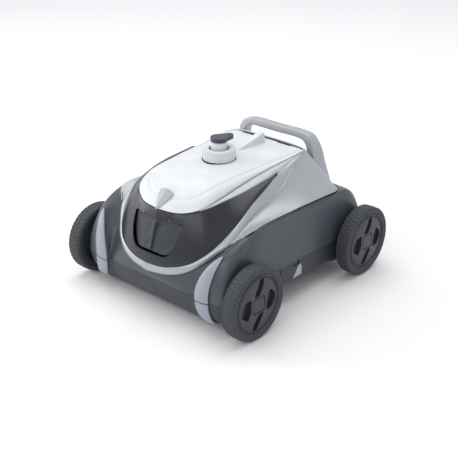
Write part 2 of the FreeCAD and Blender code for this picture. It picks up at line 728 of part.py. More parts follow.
def make_lid():
    """The white lid: the pod's crown, a wedge-shaped fin, a boss for the dial and two hinge lugs."""
    crown = common("lid_crown", [pod_wall("lid_pod"), lid_zone("lid_zone", seam_gap)])
    fin_view = [(12, pod_top - 3), (84, pod_top - 3), (80, fin_top)]
    fin = common("lid_fin", [prism("fin_wedge", "YZ", fin_view, -7, 7), lid_zone("fin_zone", seam_gap)])
    boss = rod("lid_boss", "Z", 0, dial_y, pod_top - wall, collar_bore - running_gap, wall + 3)
    pieces = [crown, fin, boss]
    for name, side in SIDES:
        low, high = span(side, 24, 52)
        pieces.append(box(f"lid_lug_{name}", low, high, 60, 84, lid_hinge_z - 3.5, pod_top - wall / 2))
        pieces.append(box(f"lid_arm_{name}", low, high, 80, lid_hinge_y, lid_hinge_z - 3.5, lid_hinge_z + 3))
        pieces.append(rod(f"lid_barrel_{name}", "X", low, lid_hinge_y, lid_hinge_z, 4.2, 28))
    holes = [
        rod("lid_stem_bore", "Z", 0, dial_y, pod_top - 2 * wall, stem_shaft_radius + running_gap, 5 * wall),
        rod("lid_pin_bore", "X", -70, lid_hinge_y, lid_hinge_z, lid_pin_radius + running_gap, 140),
    ]
    node(cut("lid", fuse("lid_solid", pieces), holes), "lid")
    node(rod("lid_hinge_pin", "X", -64, lid_hinge_y, lid_hinge_z, lid_pin_radius, 128), "lid_hinge_pin")


def make_lid_latch():
    """The faceted tab at the lid's front edge; it stands on the lid and tips up about its rear edge."""
    side_view = [(-170, 169.5), (-171, 173), (-155, 192.5), (-138, 202.5), (-136, 194), (-160, 170)]
    plan_view = [(-4, -173), (4, -173), (14, -148), (12, -136), (-12, -136), (-14, -148)]
    blank = common("latch_blank", [
        prism("latch_side_view", "YZ", side_view, -20, 20),
        prism("latch_plan_view", "XY", plan_view, 150, 220),
    ])
    node(cut("lid_latch", blank, [pod_solid("latch_lid_space", -0.35)]), "lid_latch")


def make_handle():
    """The carry handle: a bar on two legs that splay down on to the shell."""
    top, under = handle_top, handle_top - handle_bar
    foot = 138
    right = [(64, top), (71, top - 3), (91, 206), (104, 173), (118, foot), (80, foot), (68, 205), (47, under)]
    arch = right + [(-x, z) for x, z in reversed(right)]
    blank = prism("handle_blank", "XZ", arch, -handle_front - handle_depth, -handle_front)
    node(cut("carry_handle", blank, [pod_solid("handle_pod_space", 0), chassis_form("handle_deck_space", 0)]),
         "carry_handle")


# ---------------------------------------------------------------- dial

def make_dial():
    """Knurled collar, stem and teardrop pointer, all on the dial's axis."""
    collar = body("dial_collar")
    base = pod_top + 0.3
    sketch = sketch_on(collar, "collar_sketch", "XY_Plane")
    ring(sketch, 0, 0, collar_radius)
    ring(sketch, 0, 0, collar_bore)
    pad(collar, "collar_pad", sketch, collar_height)
    groove_sketch = sketch_on(collar, "collar_groove_sketch", "XY_Plane")
    ring(groove_sketch, collar_radius + 0.5, 0, 1.2)
    groove = pocket_through(collar, "collar_groove", groove_sketch)
    around(collar, "collar_knurl", groove, 36)
    place(collar, Rotation(), 0, dial_y, base)

    stem = body("dial_stem")
    shaft_length = 8
    shoulder = shaft_length + 3.3
    top = pointer_base - pod_top + shaft_length
    revolve(stem, "stem_turned", [
        (0, 0), (stem_shaft_radius, 0), (stem_shaft_radius, shoulder), (stem_radius, shoulder),
        (stem_radius, top - 2), (stem_radius - 1.5, top), (0, top),
    ])
    place(stem, Rotation(), 0, dial_y, pod_top - shaft_length)

    pointer = body("dial_pointer")
    sketch = sketch_on(pointer, "pointer_disc_sketch", "XY_Plane")
    ring(sketch, 0, 0, stem_radius + 1)
    pad(pointer, "pointer_disc", sketch, pointer_thick)
    sketch = sketch_on(pointer, "pointer_beak_sketch", "XY_Plane")
    outline(sketch, [(3, -stem_radius), (pointer_reach - 2, -5), (pointer_reach, -2), (pointer_reach, 2),
                     (pointer_reach - 2, 5), (3, stem_radius)])
    pad(pointer, "pointer_beak", sketch, pointer_thick)
    sketch = sketch_on(pointer, "pointer_hole_sketch", "XY_Plane")
    ring(sketch, pointer_reach - 6, 0, 2.2)
    hole = pocket_through(pointer, "pointer_hole", sketch)
    pointer.Tip = hole
    rest_turn = 77      # the beak points back, a little to the right
    place(pointer, Rotation(Vector(0, 0, 1), rest_turn), 0, dial_y, pointer_base)


# ---------------------------------------------------------------- wheels and drive

def make_wheel(name, side, end):
    """Tyre, hub, centre cap and axle on one corner; each body's +Z points outwards."""
    turn = facing(side)
    where = (side * wheel_mid_x, end * half_base, wheel_radius)
    edge = wheel_width / 2

    shoulder = 3.5
    tyre = body(f"tyre_{name}")
    revolve(tyre, f"tyre_turned_{name}", [
        (hub_radius, -edge), (wheel_radius - shoulder, -edge), (wheel_radius, shoulder - edge),
        (wheel_radius, edge - shoulder), (wheel_radius - shoulder, edge), (hub_radius, edge),
    ])
    place(tyre, turn, *where)

    face = edge - hub_recess
    back = face - hub_disc
    inner = hull_half + 2 - wheel_mid_x
    hub = body(f"hub_{name}")
    revolve(hub, f"hub_turned_{name}", [
        (axle_radius, inner), (axle_radius + 7, inner), (axle_radius + 7, back), (hub_radius - hub_rim, back),
        (hub_radius - hub_rim, 1 - edge), (hub_radius, 1 - edge), (hub_radius, edge - 1),
        (hub_radius - hub_rim / 2, edge - 1), (hub_radius - hub_rim / 2, face), (axle_radius, face),
    ])
    sketch = sketch_on(hub, f"hub_window_sketch_{name}", "XY_Plane")
    outline(sketch, [(19, -3), (27, -9), (37, -10), (40, 1), (30, 8)])
    window = pocket_through(hub, f"hub_window_{name}", sketch)
    around(hub, f"hub_windows_{name}", window, 4)
    place(hub, turn, *where)

    cap = body(f"hub_cap_{name}")
    sketch = sketch_on(cap, f"cap_sketch_{name}", "XY_Plane", face)
    half = cap_side / 2
    outline(sketch, [(-half, -half), (half, -half), (half, half), (-half, half)])
    pad(cap, f"cap_pad_{name}", sketch, cap_thick)
    place(cap, turn, *where)

    axle = body(f"axle_{name}")
    seat = hull_half - bearing_length - wheel_mid_x
    reach = gear_wall_x + 0.5 - wheel_mid_x if end > 0 else seat - 4
    points = [(0, reach), (axle_radius, reach)]
    if end < 0:
        points += [(axle_radius, seat - 2.5), (axle_radius + 2.5, seat - 2.5), (axle_radius + 2.5, seat - 1)]
        points.append((axle_radius, seat - 1))
    points += [(axle_radius, face - 1), (axle_radius - 1, face), (0, face)]
    revolve(axle, f"axle_turned_{name}", points)
    place(axle, turn, *where)


def make_gear(label, teeth, pitch_radius, bore, first_tooth, side, y, shaft_depth):
    """A spur gear with straight-sided teeth; first_tooth is the angle of one of them."""
    gear = body(label)
    root = pitch_radius - 1.25 * gear_module
    foot = root - 0.4
    tip = pitch_radius + gear_module
    half_foot, half_tip = 0.92 * gear_module, 0.33 * gear_module
    sketch = sketch_on(gear, f"{label}_disc_sketch", "XY_Plane")
    ring(sketch, 0, 0, root)
    if bore is not None:
        ring(sketch, 0, 0, bore)
    pad(gear, f"{label}_disc", sketch, gear_width)
    sketch = sketch_on(gear, f"{label}_tooth_sketch", "XY_Plane")
    outline(sketch, [(foot, -half_foot), (tip, -half_tip), (tip, half_tip), (foot, half_foot)])
    tooth = pad(gear, f"{label}_tooth", sketch, gear_width)
    around(gear, f"{label}_teeth", tooth, teeth)
    if shaft_depth is not None:
        sketch = sketch_on(gear, f"{label}_shaft_sketch", "XY_Plane", -dim(shaft_depth))
        ring(sketch, 0, 0, motor_shaft_radius)
        pad(gear, f"{label}_shaft", sketch, dim(shaft_depth) + gear_width)
    turn = facing(side).multiply(Rotation(Vector(0, 0, 1), first_tooth))
    place(gear, turn, side * gear_x, y, wheel_radius)


def make_drive():
    """On each side a motor turns the rear axle through a pinion and a gear."""
    for name, side in SIDES:
        make_gear(f"drive_gear_{name}", gear_teeth, gear_pitch_radius, axle_radius, 90, side, half_base, None)
        half_tooth = 180 / pinion_teeth
        make_gear(f"drive_pinion_{name}", pinion_teeth, pinion_pitch_radius, None, 90 + half_tooth, side,
                  motor_y, wall + 2 + 10)
        low, high = span(side, gear_wall_x - motor_length, gear_wall_x)
        can = rod(f"motor_can_{name}", "X", low, motor_y, wheel_radius, motor_radius, motor_length)
        low, high = span(side, gear_wall_x - 11, gear_wall_x + 1)
        bore = rod(f"motor_bore_{name}", "X", low, motor_y, wheel_radius,
                   motor_shaft_radius + running_gap, 12)
        node(cut(f"drive_motor_{name}", can, [bore]), f"drive_motor_{name}")
    rings = []
    for name, side, end in CORNERS:
        low, high = span(side, hull_half - bearing_length, hull_half)
        y = end * half_base
        race = rod(f"race_{name}", "X", low, y, wheel_radius, bearing_radius, bearing_length)
        bore = rod(f"race_bore_{name}", "X", low - 1, y, wheel_radius, axle_radius + running_gap,
                   bearing_length + 2)
        rings.append(cut(f"bearing_{name}", race, [bore]))
    node(group("axle_bearings", rings), "axle_bearings")


# ---------------------------------------------------------------- filter, pump, battery, electronics

def make_basket():
    """The lift-out filter: floor, corner posts and rims, with four mesh panels and a seal."""
    post = basket_post
    left, right = -basket_half, basket_half
    pieces = [
        box("basket_base", left, right, basket_front, basket_rear, basket_floor, basket_floor + wall),
        box("basket_rim", left, right, basket_front, basket_rear, basket_top - 6, basket_top),
        box("basket_belt", left, right, basket_front, basket_rear, basket_floor + 70, basket_floor + 75),
    ]
    corners = ((left, basket_front), (right - post, basket_front), (left, basket_rear - post),
               (right - post, basket_rear - post))
    for index, (x, y) in enumerate(corners):
        pieces.append(box(f"basket_post_{index}", x, dim(x) + post, y, y + post, basket_floor, basket_top))
    inside = box("basket_inside", left + post / 2, right - post / 2, basket_front + post / 2,
                 basket_rear - post / 2, basket_floor + wall, basket_top + 1)
    inlet = box("basket_inlet", -mouth_half, mouth_half, -mouth_depth / 2, mouth_depth / 2, basket_floor - 1,
                basket_floor + wall + 1)
    node(cut("basket_frame", fuse("basket_solid", pieces), [inside, inlet]), "basket_frame")

    thin = 1
    low, high = basket_floor + wall, basket_floor + 70
    second, top = basket_floor + 75, basket_top - 6
    panels = []
    for index, (z0, z1) in enumerate(((low, high), (second, top))):
        for name, sign in (("front", -1), ("rear", 1)):
            y = basket_front + 1 if sign < 0 else basket_rear - 2
            panels.append(box(f"mesh_{name}_{index}", left + post, right - post, y, y + thin, z0, z1))
        for name, sign in SIDES:
            x = left + 1 if sign < 0 else right - 2
            panels.append(box(f"mesh_{name}_{index}", x, x + thin, basket_front + post,
                              basket_rear - post, z0, z1))
    node(group("basket_mesh", panels), "basket_mesh")

    rim = box("seal_rim", left, right, basket_front, basket_rear, basket_top, basket_top + 2)
    space = box("seal_space", left + 3, right - 3, basket_front + 3, basket_rear - 3, basket_top - 1,
                basket_top + 3)
    node(cut("basket_seal", rim, [space]), "basket_seal")


def make_pump():
    """Motor in a straight duct; the impeller draws through the basket and drives out at the flap."""
    length = duct_rear - duct_front
    motor_can_radius = 15
    motor_front, motor_rear = duct_front + 4, duct_front + 36
    neck = 20
    gap_to_basket = basket_front - duct_rear
    added = [
        cut("duct_tube", rod("duct_skin", "Y", 0, duct_front, duct_z, duct_radius, length),
            [rod("duct_bore", "Y", 0, duct_front - 1, duct_z, duct_radius - duct_wall, length + 2)]),
        rod("duct_back", "Y", 0, duct_rear - duct_wall, duct_z, duct_radius, duct_wall),
        rod("duct_neck", "Y", 0, duct_rear - duct_wall, duct_z, neck + duct_wall,
            gap_to_basket + duct_wall),
        box("duct_pedestal", -9, 9, duct_front + 30, duct_front + 50, belly_floor + wall,
            duct_z - duct_radius + 1.5),
        box("duct_strut_low", -1.5, 1.5, motor_front + 4, motor_front + 20, duct_z - duct_radius + 1, duct_z),
        box("duct_strut_side", 1 - duct_radius, duct_radius - 1, motor_front + 4, motor_front + 20,
            duct_z - 1.5, duct_z + 1.5),
    ]
    removed = [
        rod("duct_neck_bore", "Y", 0, duct_rear - 2 * duct_wall, duct_z, neck,
            gap_to_basket + 3 * duct_wall),
        rod("duct_motor_seat", "Y", 0, duct_front, duct_z, motor_can_radius, 40),
    ]
    node(cut("pump_duct", fuse("duct_solid", added), removed), "pump_duct")

    can = rod("pump_can", "Y", 0, motor_front, duct_z, motor_can_radius, motor_rear - motor_front)
    bore = rod("pump_can_bore", "Y", 0, motor_rear - 8, duct_z, pump_shaft_radius + running_gap, 10)
    node(cut("pump_motor", can, [bore]), "pump_motor")

    lip = rod("seal_lip", "Y", 0, motor_rear, duct_z, 7, 3)
    bore = rod("seal_bore", "Y", 0, motor_rear - 1, duct_z, pump_shaft_radius + running_gap, 5)
    node(cut("pump_seal", lip, [bore]), "pump_seal")

    impeller = body("pump_impeller")
    start = 12
    revolve(impeller, "impeller_hub", [
        (0, 0), (pump_shaft_radius, 0), (pump_shaft_radius, start), (9, start), (9, start + 10),
        (5, start + 17), (0, start + 17),
    ])
    sketch = sketch_on(impeller, "impeller_blade_sketch", "XY_Plane", start + 1)
    outline(sketch, [(7, -3), (18, -2), (impeller_radius, 3), (impeller_radius, 5), (18, 0.2), (7, -0.8)])
    blade = pad(impeller, "impeller_blade", sketch, 8)
    around(impeller, "impeller_blades", blade, 6)
    place(impeller, Rotation(Vector(1, 0, 0), -90), 0, motor_rear - 7, duct_z)


def make_battery():
    """Eight cells lying in two layers in a sealed case on the belly's floor."""
    floor = belly_floor + wall
    half = cell_length / 2 + 4
    top = floor + 2 * cell_pitch + 4
    rear = battery_front + 4 * cell_pitch + 5
    skin = box("battery_skin", -half, half, battery_front, rear, floor, top)
    space = box("battery_space", 2 - half, half - 2, battery_front + 2, rear - 2, floor + 2, top - 2)
    node(cut("battery_case", skin, [space]), "battery_case")
    cells = []
    for layer in range(2):
        for column in range(4):
            y = battery_front + 2.5 + cell_pitch * (column + 0.5)
            z = floor + 2 + cell_radius + cell_pitch * layer
            cells.append(rod(f"cell_{layer}_{column}", "X", -cell_length / 2, y, z, cell_radius, cell_length))
    node(group("battery_cells", cells), "battery_cells")

    low, high = top, top + 34
    front, back = battery_front + 3, battery_front + 58
    skin = box("case_skin", -case_half, case_half, front, back, low, high)
    space = box("case_space", 2.5 - case_half, case_half - 2.5, front + 2.5, back - 2.5, low + 2.5, high + 1)
    posts = []
    for index, (x, y) in enumerate(((-50, 8), (50, 8), (-50, 46), (50, 46))):
        posts.append(rod(f"case_post_{index}", "Z", x, front + y, low + 1, 3, 9))
    node(fuse("electronics_case", [cut("case_tub", skin, [space])] + posts), "electronics_case")
    node(box("electronics_cover", -case_half, case_half, front, back, high, high + 2.5), "electronics_cover")
    board = box("board_sheet", 4 - case_half, case_half - 4, front + 4, back - 4, low + 10, low + 11.6)
    chips = [board]
    for index, (x, width, rise) in enumerate(((-34, 14, 3), (-8, 20, 2.2), (24, 12, 9))):
        chips.append(box(f"chip_{index}", x, x + width, front + 18, front + 32, low + 11,
                         low + 11.6 + rise))
    node(fuse("control_board", chips), "control_board")


# ---------------------------------------------------------------- build, test and write

def make_all():
    make_tray()
    make_suction_plate()
    make_screws()
    make_inlet_flaps()
    make_chassis()
    make_trims()
    make_side_latches()
    make_shell()
    make_front_panel()
    make_outlet_flap()
    make_lid()
    make_lid_latch()
    make_handle()
    make_dial()
    for name, side, end in CORNERS:
        make_wheel(name, side, end)
    make_drive()
    make_basket()
    make_pump()
    make_battery()


make_all()
doc.recompute()

faults = []
for item in doc.Objects:
    if "Invalid" in item.State or "Error" in item.State:
        faults.append(f"{item.Label}: {item.State}")
for item in nodes:
    if item.Shape.isNull() or not item.Shape.isValid():
        faults.append(f"{item.Label}: no valid shape")
if faults:
    raise RuntimeError("; ".join(faults))

os.makedirs("parts", exist_ok=True)
for item in nodes:
    item.Shape.exportStep(f"parts/{item.Label}.step")
    box_of = item.Shape.BoundBox
    print(f"{item.Label}: {len(item.Shape.Solids)} solids, {item.Shape.Volume / 1000:.1f} cm3, "
          f"x {box_of.XMin:.1f}..{box_of.XMax:.1f}, y {box_of.YMin:.1f}..{box_of.YMax:.1f}, "
          f"z {box_of.ZMin:.1f}..{box_of.ZMax:.1f}")
print(len(nodes), "sub-parts written")
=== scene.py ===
import json
import math

import bpy
import bmesh
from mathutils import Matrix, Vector


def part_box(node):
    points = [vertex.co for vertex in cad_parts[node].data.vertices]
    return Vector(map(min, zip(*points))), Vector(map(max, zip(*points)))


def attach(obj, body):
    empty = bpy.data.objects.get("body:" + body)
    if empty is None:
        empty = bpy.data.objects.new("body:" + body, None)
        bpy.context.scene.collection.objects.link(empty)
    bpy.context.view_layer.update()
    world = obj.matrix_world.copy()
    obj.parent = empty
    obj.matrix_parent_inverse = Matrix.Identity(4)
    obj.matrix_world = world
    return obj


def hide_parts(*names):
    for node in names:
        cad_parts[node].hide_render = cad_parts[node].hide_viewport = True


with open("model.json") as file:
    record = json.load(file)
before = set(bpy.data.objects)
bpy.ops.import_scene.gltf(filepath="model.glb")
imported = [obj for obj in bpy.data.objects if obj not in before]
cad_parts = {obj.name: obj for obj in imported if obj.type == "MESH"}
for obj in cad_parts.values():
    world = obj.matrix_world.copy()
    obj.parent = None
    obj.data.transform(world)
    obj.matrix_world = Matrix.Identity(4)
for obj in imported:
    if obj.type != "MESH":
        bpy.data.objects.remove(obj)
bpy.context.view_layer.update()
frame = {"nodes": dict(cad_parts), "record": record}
MM = 0.001


# ---------------------------------------------------------------- materials

BLOB = 0.03             # width in metres of the slow variation in colour and gloss
GLOSS_SPREAD = 0.05     # how far the roughness varies to either side
BUMP_HEIGHT = 0.0004    # height in metres of the grain at full strength
COAT_ROUGHNESS = 0.12


def texture_space(nodes):
    """Object coordinates, in metres, so that every grain has a real size."""
    return nodes.new("ShaderNodeTexCoord").outputs["Object"]


def noise(nodes, links, where, size, detail=3.0):
    """A noise whose blobs are about size metres across."""
    node = nodes.new("ShaderNodeTexNoise")
    node.inputs["Scale"].default_value = 1.0 / size
    node.inputs["Detail"].default_value = detail
    links.new(where, node.inputs["Vector"])
    return node.outputs["Fac"]


def ramp(nodes, links, factor, low, high):
    """Maps the middle of a noise's range to the range from low to high."""
    node = nodes.new("ShaderNodeMapRange")
    node.inputs["From Min"].default_value = 0.3
    node.inputs["From Max"].default_value = 0.7
    node.inputs["To Min"].default_value = low
    node.inputs["To Max"].default_value = high
    links.new(factor, node.inputs["Value"])
    return node.outputs["Result"]


def moulded(name, colour, rough, grain=0.0006, depth=0.02, metal=0.0, coat=0.0, mottle=0.04):
    """Moulded plastic, paint or metal: fine grain in the bump, slow variation in colour and gloss."""
    material = bpy.data.materials.new(name)
    material.use_nodes = True
    nodes = material.node_tree.nodes
    links = material.node_tree.links
    shader = nodes["Principled BSDF"]
    shader.inputs["Metallic"].default_value = metal
    shader.inputs["Coat Weight"].default_value = coat
    shader.inputs["Coat Roughness"].default_value = COAT_ROUGHNESS
    where = texture_space(nodes)
    slow = noise(nodes, links, where, BLOB)
    fine = noise(nodes, links, where, grain, detail=2.0)
    mix = nodes.new("ShaderNodeMix")
    mix.data_type = "RGBA"
    mix.inputs["A"].default_value = tuple(c * (1.0 - mottle) for c in colour) + (1.0,)
    mix.inputs["B"].default_value = tuple(min(1.0, c * (1.0 + mottle)) for c in colour) + (1.0,)
    links.new(ramp(nodes, links, slow, 0.0, 1.0), mix.inputs["Factor"])
    links.new(mix.outputs["Result"], shader.inputs["Base Color"])
    gloss = ramp(nodes, links, slow, rough - GLOSS_SPREAD, rough + GLOSS_SPREAD)
    links.new(gloss, shader.inputs["Roughness"])
    bump = nodes.new("ShaderNodeBump")
    bump.inputs["Strength"].default_value = depth
    bump.inputs["Distance"].default_value = BUMP_HEIGHT
    links.new(fine, bump.inputs["Height"])
    links.new(bump.outputs["Normal"], shader.inputs["Normal"])
    return material


FINISH = {
    "white_plastic": moulded("lid_white", (0.67, 0.685, 0.70), 0.34, depth=0.05),
    "silver_plastic": moulded("shell_silver", (0.41, 0.425, 0.45), 0.32, metal=0.35, coat=0.2, depth=0.08),
    "gloss_black": moulded("panel_black", (0.010, 0.012, 0.016), 0.34, coat=0.1, depth=0.03),
    "hull_plastic": moulded("hull_slate", (0.056, 0.064, 0.078), 0.38, depth=0.15),
    "side_plastic": moulded("side_charcoal", (0.028, 0.032, 0.040), 0.42, depth=0.2),
    "pointer_plastic": moulded("pointer_slate", (0.035, 0.042, 0.056), 0.32, depth=0.1),
    "latch_grey": moulded("latch_grey", (0.40, 0.42, 0.44), 0.40, depth=0.1),
    # The fender trims are the hull's slate plastic; this light grey is painted highlight, standing in for the
    # strong left light on their facets.
    "trim_grey": moulded("trim_grey", (0.30, 0.325, 0.37), 0.36, depth=0.1),
    "tyre_rubber": moulded("tyre_rubber", (0.040, 0.044, 0.050), 0.62, grain=0.0009, depth=0.4),
    "hub_plastic": moulded("hub_dark", (0.034, 0.038, 0.044), 0.44, depth=0.2),
    "steel": moulded("steel", (0.56, 0.57, 0.58), 0.30, metal=1.0, depth=0.05),
    "gear_plastic": moulded("gear_white", (0.70, 0.69, 0.64), 0.45, depth=0.15),
    "motor_metal": moulded("motor_zinc", (0.42, 0.43, 0.44), 0.38, metal=0.9, depth=0.15),
    "rubber": moulded("seal_rubber", (0.020, 0.020, 0.022), 0.70, grain=0.0010, depth=0.4),
    "inner_plastic": moulded("inner_grey", (0.16, 0.17, 0.18), 0.48, depth=0.2),
    "mesh": moulded("filter_mesh", (0.55, 0.57, 0.58), 0.70, grain=0.0008, depth=0.9),
    "cell_wrap": moulded("cell_wrap", (0.05, 0.16, 0.30), 0.35, depth=0.05),
    "circuit_board": moulded("circuit_board", (0.02, 0.12, 0.06), 0.40, grain=0.0015, depth=0.4),
}


SLOT_OF = {part["node"]: part["material_slot"] for part in frame["record"]["subparts"]}
for node_name, node_object in frame["nodes"].items():
    node_object.data.materials.clear()
    node_object.data.materials.append(FINISH[SLOT_OF[node_name]])


# ---------------------------------------------------------------- surfaces
# Shapes below are given in millimetres, in the frame's axes: x to the right, y to the rear, z up.
# Sheets that reach the middle describe the right half, and sheet_mesh() mirrors the left one from it.

SPAN = 6            # grid steps between two control points
WALL_SPAN = 4       # the same on the hull's walls, which have more control points
RIM_SPAN = 8        # the same along the lid's rim and the fender trims
SHARP = 38          # degrees from which an edge is shaded as an edge
BEVEL_STEPS = 2
ROUND_STEPS = 96    # steps round a circle
SKIN = 2.4          # wall thickness of the large mouldings
WELD = 0.02         # points closer than this become one
SLIVER = 0.005      # edges shorter than this are dissolved


def share_of(value, start, end):
    """How far a value lies on the way from start to end, held between 0 and 1."""
    return min(max((value - start) / (end - start), 0.0), 1.0)


def span(side, near, far):
    """A range across x on one side of the middle, lowest value first."""
    return sorted((side * near, side * far))


def curve(points, steps=SPAN):
    """A smooth line through the points, with the same number of steps in each span."""
    knots = [Vector(p) for p in points]
    full = [2 * knots[0] - knots[1]] + knots + [2 * knots[-1] - knots[-2]]
    line = []
    for before, start, end, after in zip(full, full[1:], full[2:], full[3:]):
        length = max((end - start).length ** 0.5, 1e-6)
        length_before = max((start - before).length ** 0.5, 1e-6)
        length_after = max((after - end).length ** 0.5, 1e-6)
        slope_start = (end - start) + length * (
            (start - before) / length_before - (end - before) / (length_before + length))
        slope_end = (end - start) + length * (
            (after - end) / length_after - (after - start) / (length + length_after))
        for step in range(steps):
            t = step / steps
            line.append(start * (2 * t ** 3 - 3 * t ** 2 + 1) + slope_start * (t ** 3 - 2 * t ** 2 + t)
                        + end * (3 * t ** 2 - 2 * t ** 3) + slope_end * (t ** 3 - t ** 2))
    return line + [knots[-1]]


def surface(columns):
    """A smooth sheet through columns of control points; every column has the same number of them."""
    drawn = [curve(column, WALL_SPAN) for column in columns]
    return [curve(row, WALL_SPAN) for row in zip(*drawn)]


def between(low, high, bulge, rows=8, end_bulge=None):
    """A sheet between two lines of equal length, swelling outward halfway, by end_bulge at their end."""
    end_bulge = bulge if end_bulge is None else end_bulge
    last = len(low) - 1
    sheet = []
    for row in range(rows + 1):
        t = row / rows
        line = []
        for index, (a, b) in enumerate(zip(low, high)):
            along = low[min(index + 1, last)] - low[max(index - 1, 0)]
            out = along.cross(b - a)
            out = out.normalized() if out.length > 1e-6 else Vector()
            if a.x == b.x == 0:
                out.x = 0
            swell = bulge + (end_bulge - bulge) * (index / last) ** 2
            line.append(a.lerp(b, t) + out * swell * 4 * t * (1 - t))
        sheet.append(line)
    return sheet


def sheet_mesh(sheets, both=True, flip=False):
    """One mesh, in metres, from grids of points; with both, the left half is mirrored from the right."""
    mesh = bmesh.new()
    sides = ((1, flip), (-1, not flip)) if both else ((1, flip),)
    for sheet in sheets:
        for side, turned in sides:
            grid = [[mesh.verts.new(Vector((p.x * side, p.y, p.z)) * MM) for p in row] for row in sheet]
            for row, above in zip(grid, grid[1:]):
                for a, b, c, d in zip(row, row[1:], above[1:], above):
                    mesh.faces.new((d, c, b, a) if turned else (a, b, c, d))
    bmesh.ops.remove_doubles(mesh, verts=mesh.verts, dist=WELD * MM)
    bmesh.ops.dissolve_degenerate(mesh, edges=mesh.edges, dist=SLIVER * MM)
    return mesh


def close_ends(mesh):
    """Fills the open ends of a tube-like sheet and turns all its faces outward."""
    bmesh.ops.holes_fill(mesh, edges=mesh.edges, sides=0)
    bmesh.ops.recalc_face_normals(mesh, faces=mesh.faces)


def piece(name, mesh, finish, body, nodes=(), sharp=SHARP, thick=0.0, edge=0.0):
    """Finishes a mesh as one piece: wall thickness, softened edges, finish, body and what it replaces."""
    data = bpy.data.meshes.new(name)
    mesh.to_mesh(data)
    mesh.free()
    part = bpy.data.objects.new(name, data)
    bpy.context.scene.collection.objects.link(part)
    if thick:
        wall = part.modifiers.new("wall", "SOLIDIFY")
        wall.thickness = thick * MM
        wall.offset = -1.0
    if edge:
        round_off = part.modifiers.new("edges", "BEVEL")
        round_off.width = edge * MM
        round_off.segments = BEVEL_STEPS
        round_off.limit_method = "ANGLE"
        round_off.angle_limit = math.radians(sharp)
    settle(part)
    part.data.materials.clear()
    part.data.materials.append(FINISH[finish])
    part.data.shade_smooth()
    part.data.set_sharp_from_angle(angle=math.radians(sharp))
    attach(part, body)
    if nodes:
        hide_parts(*nodes)
    return part


def settle(part):
    """Applies the modifiers, so that the piece keeps only its final mesh."""
    bpy.context.view_layer.update()
    seen = part.evaluated_get(bpy.context.evaluated_depsgraph_get())
    part.data = bpy.data.meshes.new_from_object(seen)
    part.modifiers.clear()


def carve(part, cutters):
    """Cuts closed shapes out of a piece and removes them."""
    for tool in cutters:
        step = part.modifiers.new("cut", "BOOLEAN")
        step.operation = "DIFFERENCE"
        step.solver = "EXACT"
        step.object = tool
        settle(part)
        bpy.data.objects.remove(tool)
    part.data.shade_smooth()
    part.data.set_sharp_from_angle(angle=math.radians(SHARP))


def rectangle(left, low, right, high):
    """The corners of a rectangle, in order round it."""
    return [(left, low), (right, low), (right, high), (left, high)]


def circle(centre, radius):
    """Points round a circle."""
    turns = [math.tau * step / ROUND_STEPS for step in range(ROUND_STEPS)]
    return [(centre.x + radius * math.cos(turn), centre.y + radius * math.sin(turn)) for turn in turns]


def bend(start, corner, end, steps):
    """Points on a curve that leaves start towards the corner and turns to reach end."""
    shares = [step / steps for step in range(steps + 1)]
    return [start.lerp(corner, t).lerp(corner.lerp(end, t), t) for t in shares]


def rounded(corners, radii):
    """A polygon with its corners rounded."""
    shape = []
    count = len(corners)
    for index, (corner, radius) in enumerate(zip(corners, radii)):
        here = Vector(corner)
        before = Vector(corners[index - 1]) - here
        after = Vector(corners[(index + 1) % count]) - here
        start = here + before.normalized() * radius
        end = here + after.normalized() * radius
        shape += [tuple(point) for point in bend(start, here, end, 4)]
    return shape


def rounded_square(half, radius):
    """A square about the origin with its corners rounded."""
    return rounded(rectangle(-half, -half, half, half), [radius] * 4)


def join_rings(mesh, ring, following):
    """Faces between two closed rings with the same number of points."""
    count = len(ring)
    for index in range(count):
        after = (index + 1) % count
        mesh.faces.new((ring[index], ring[after], following[after], following[index]))


def slab(outline, low, high, axis="z"):
    """A closed prism over an outline, as a mesh; the outline lies across the axis."""
    place = {
        "x": lambda a, b, level: Vector((level, a, b)),
        "y": lambda a, b, level: Vector((a, level, b)),
        "z": lambda a, b, level: Vector((a, b, level)),
    }[axis]
    mesh = bmesh.new()
    rings = [[mesh.verts.new(place(a, b, level) * MM) for a, b in outline] for level in (low, high)]
    mesh.faces.new(rings[0])
    mesh.faces.new(list(reversed(rings[1])))
    join_rings(mesh, rings[1], rings[0])
    bmesh.ops.recalc_face_normals(mesh, faces=mesh.faces)
    return mesh


def cutter(mesh):
    """A closed shape as an object for carve(), which removes it again."""
    data = bpy.data.meshes.new("cutter")
    mesh.to_mesh(data)
    mesh.free()
    tool = bpy.data.objects.new("cutter", data)
    bpy.context.scene.collection.objects.link(tool)
    return tool


def turned(profile, steps, ripple=None):
    """A closed ring turned about the x axis from (x, radius) points; ripple(step, index) lowers a point."""
    mesh = bmesh.new()
    rings = []
    for step in range(steps):
        angle = math.tau * step / steps
        ring = []
        for index, (x, radius) in enumerate(profile):
            r = radius - (ripple(step, index) if ripple else 0.0)
            ring.append(mesh.verts.new(Vector((x, r * math.cos(angle), r * math.sin(angle))) * MM))
        rings.append(ring)
    for ring, following in zip(rings, rings[1:] + rings[:1]):
        join_rings(mesh, ring, following)
    bmesh.ops.recalc_face_normals(mesh, faces=mesh.faces)
    return mesh


# ---------------------------------------------------------------- pod: lid, panel, silver shell, handle

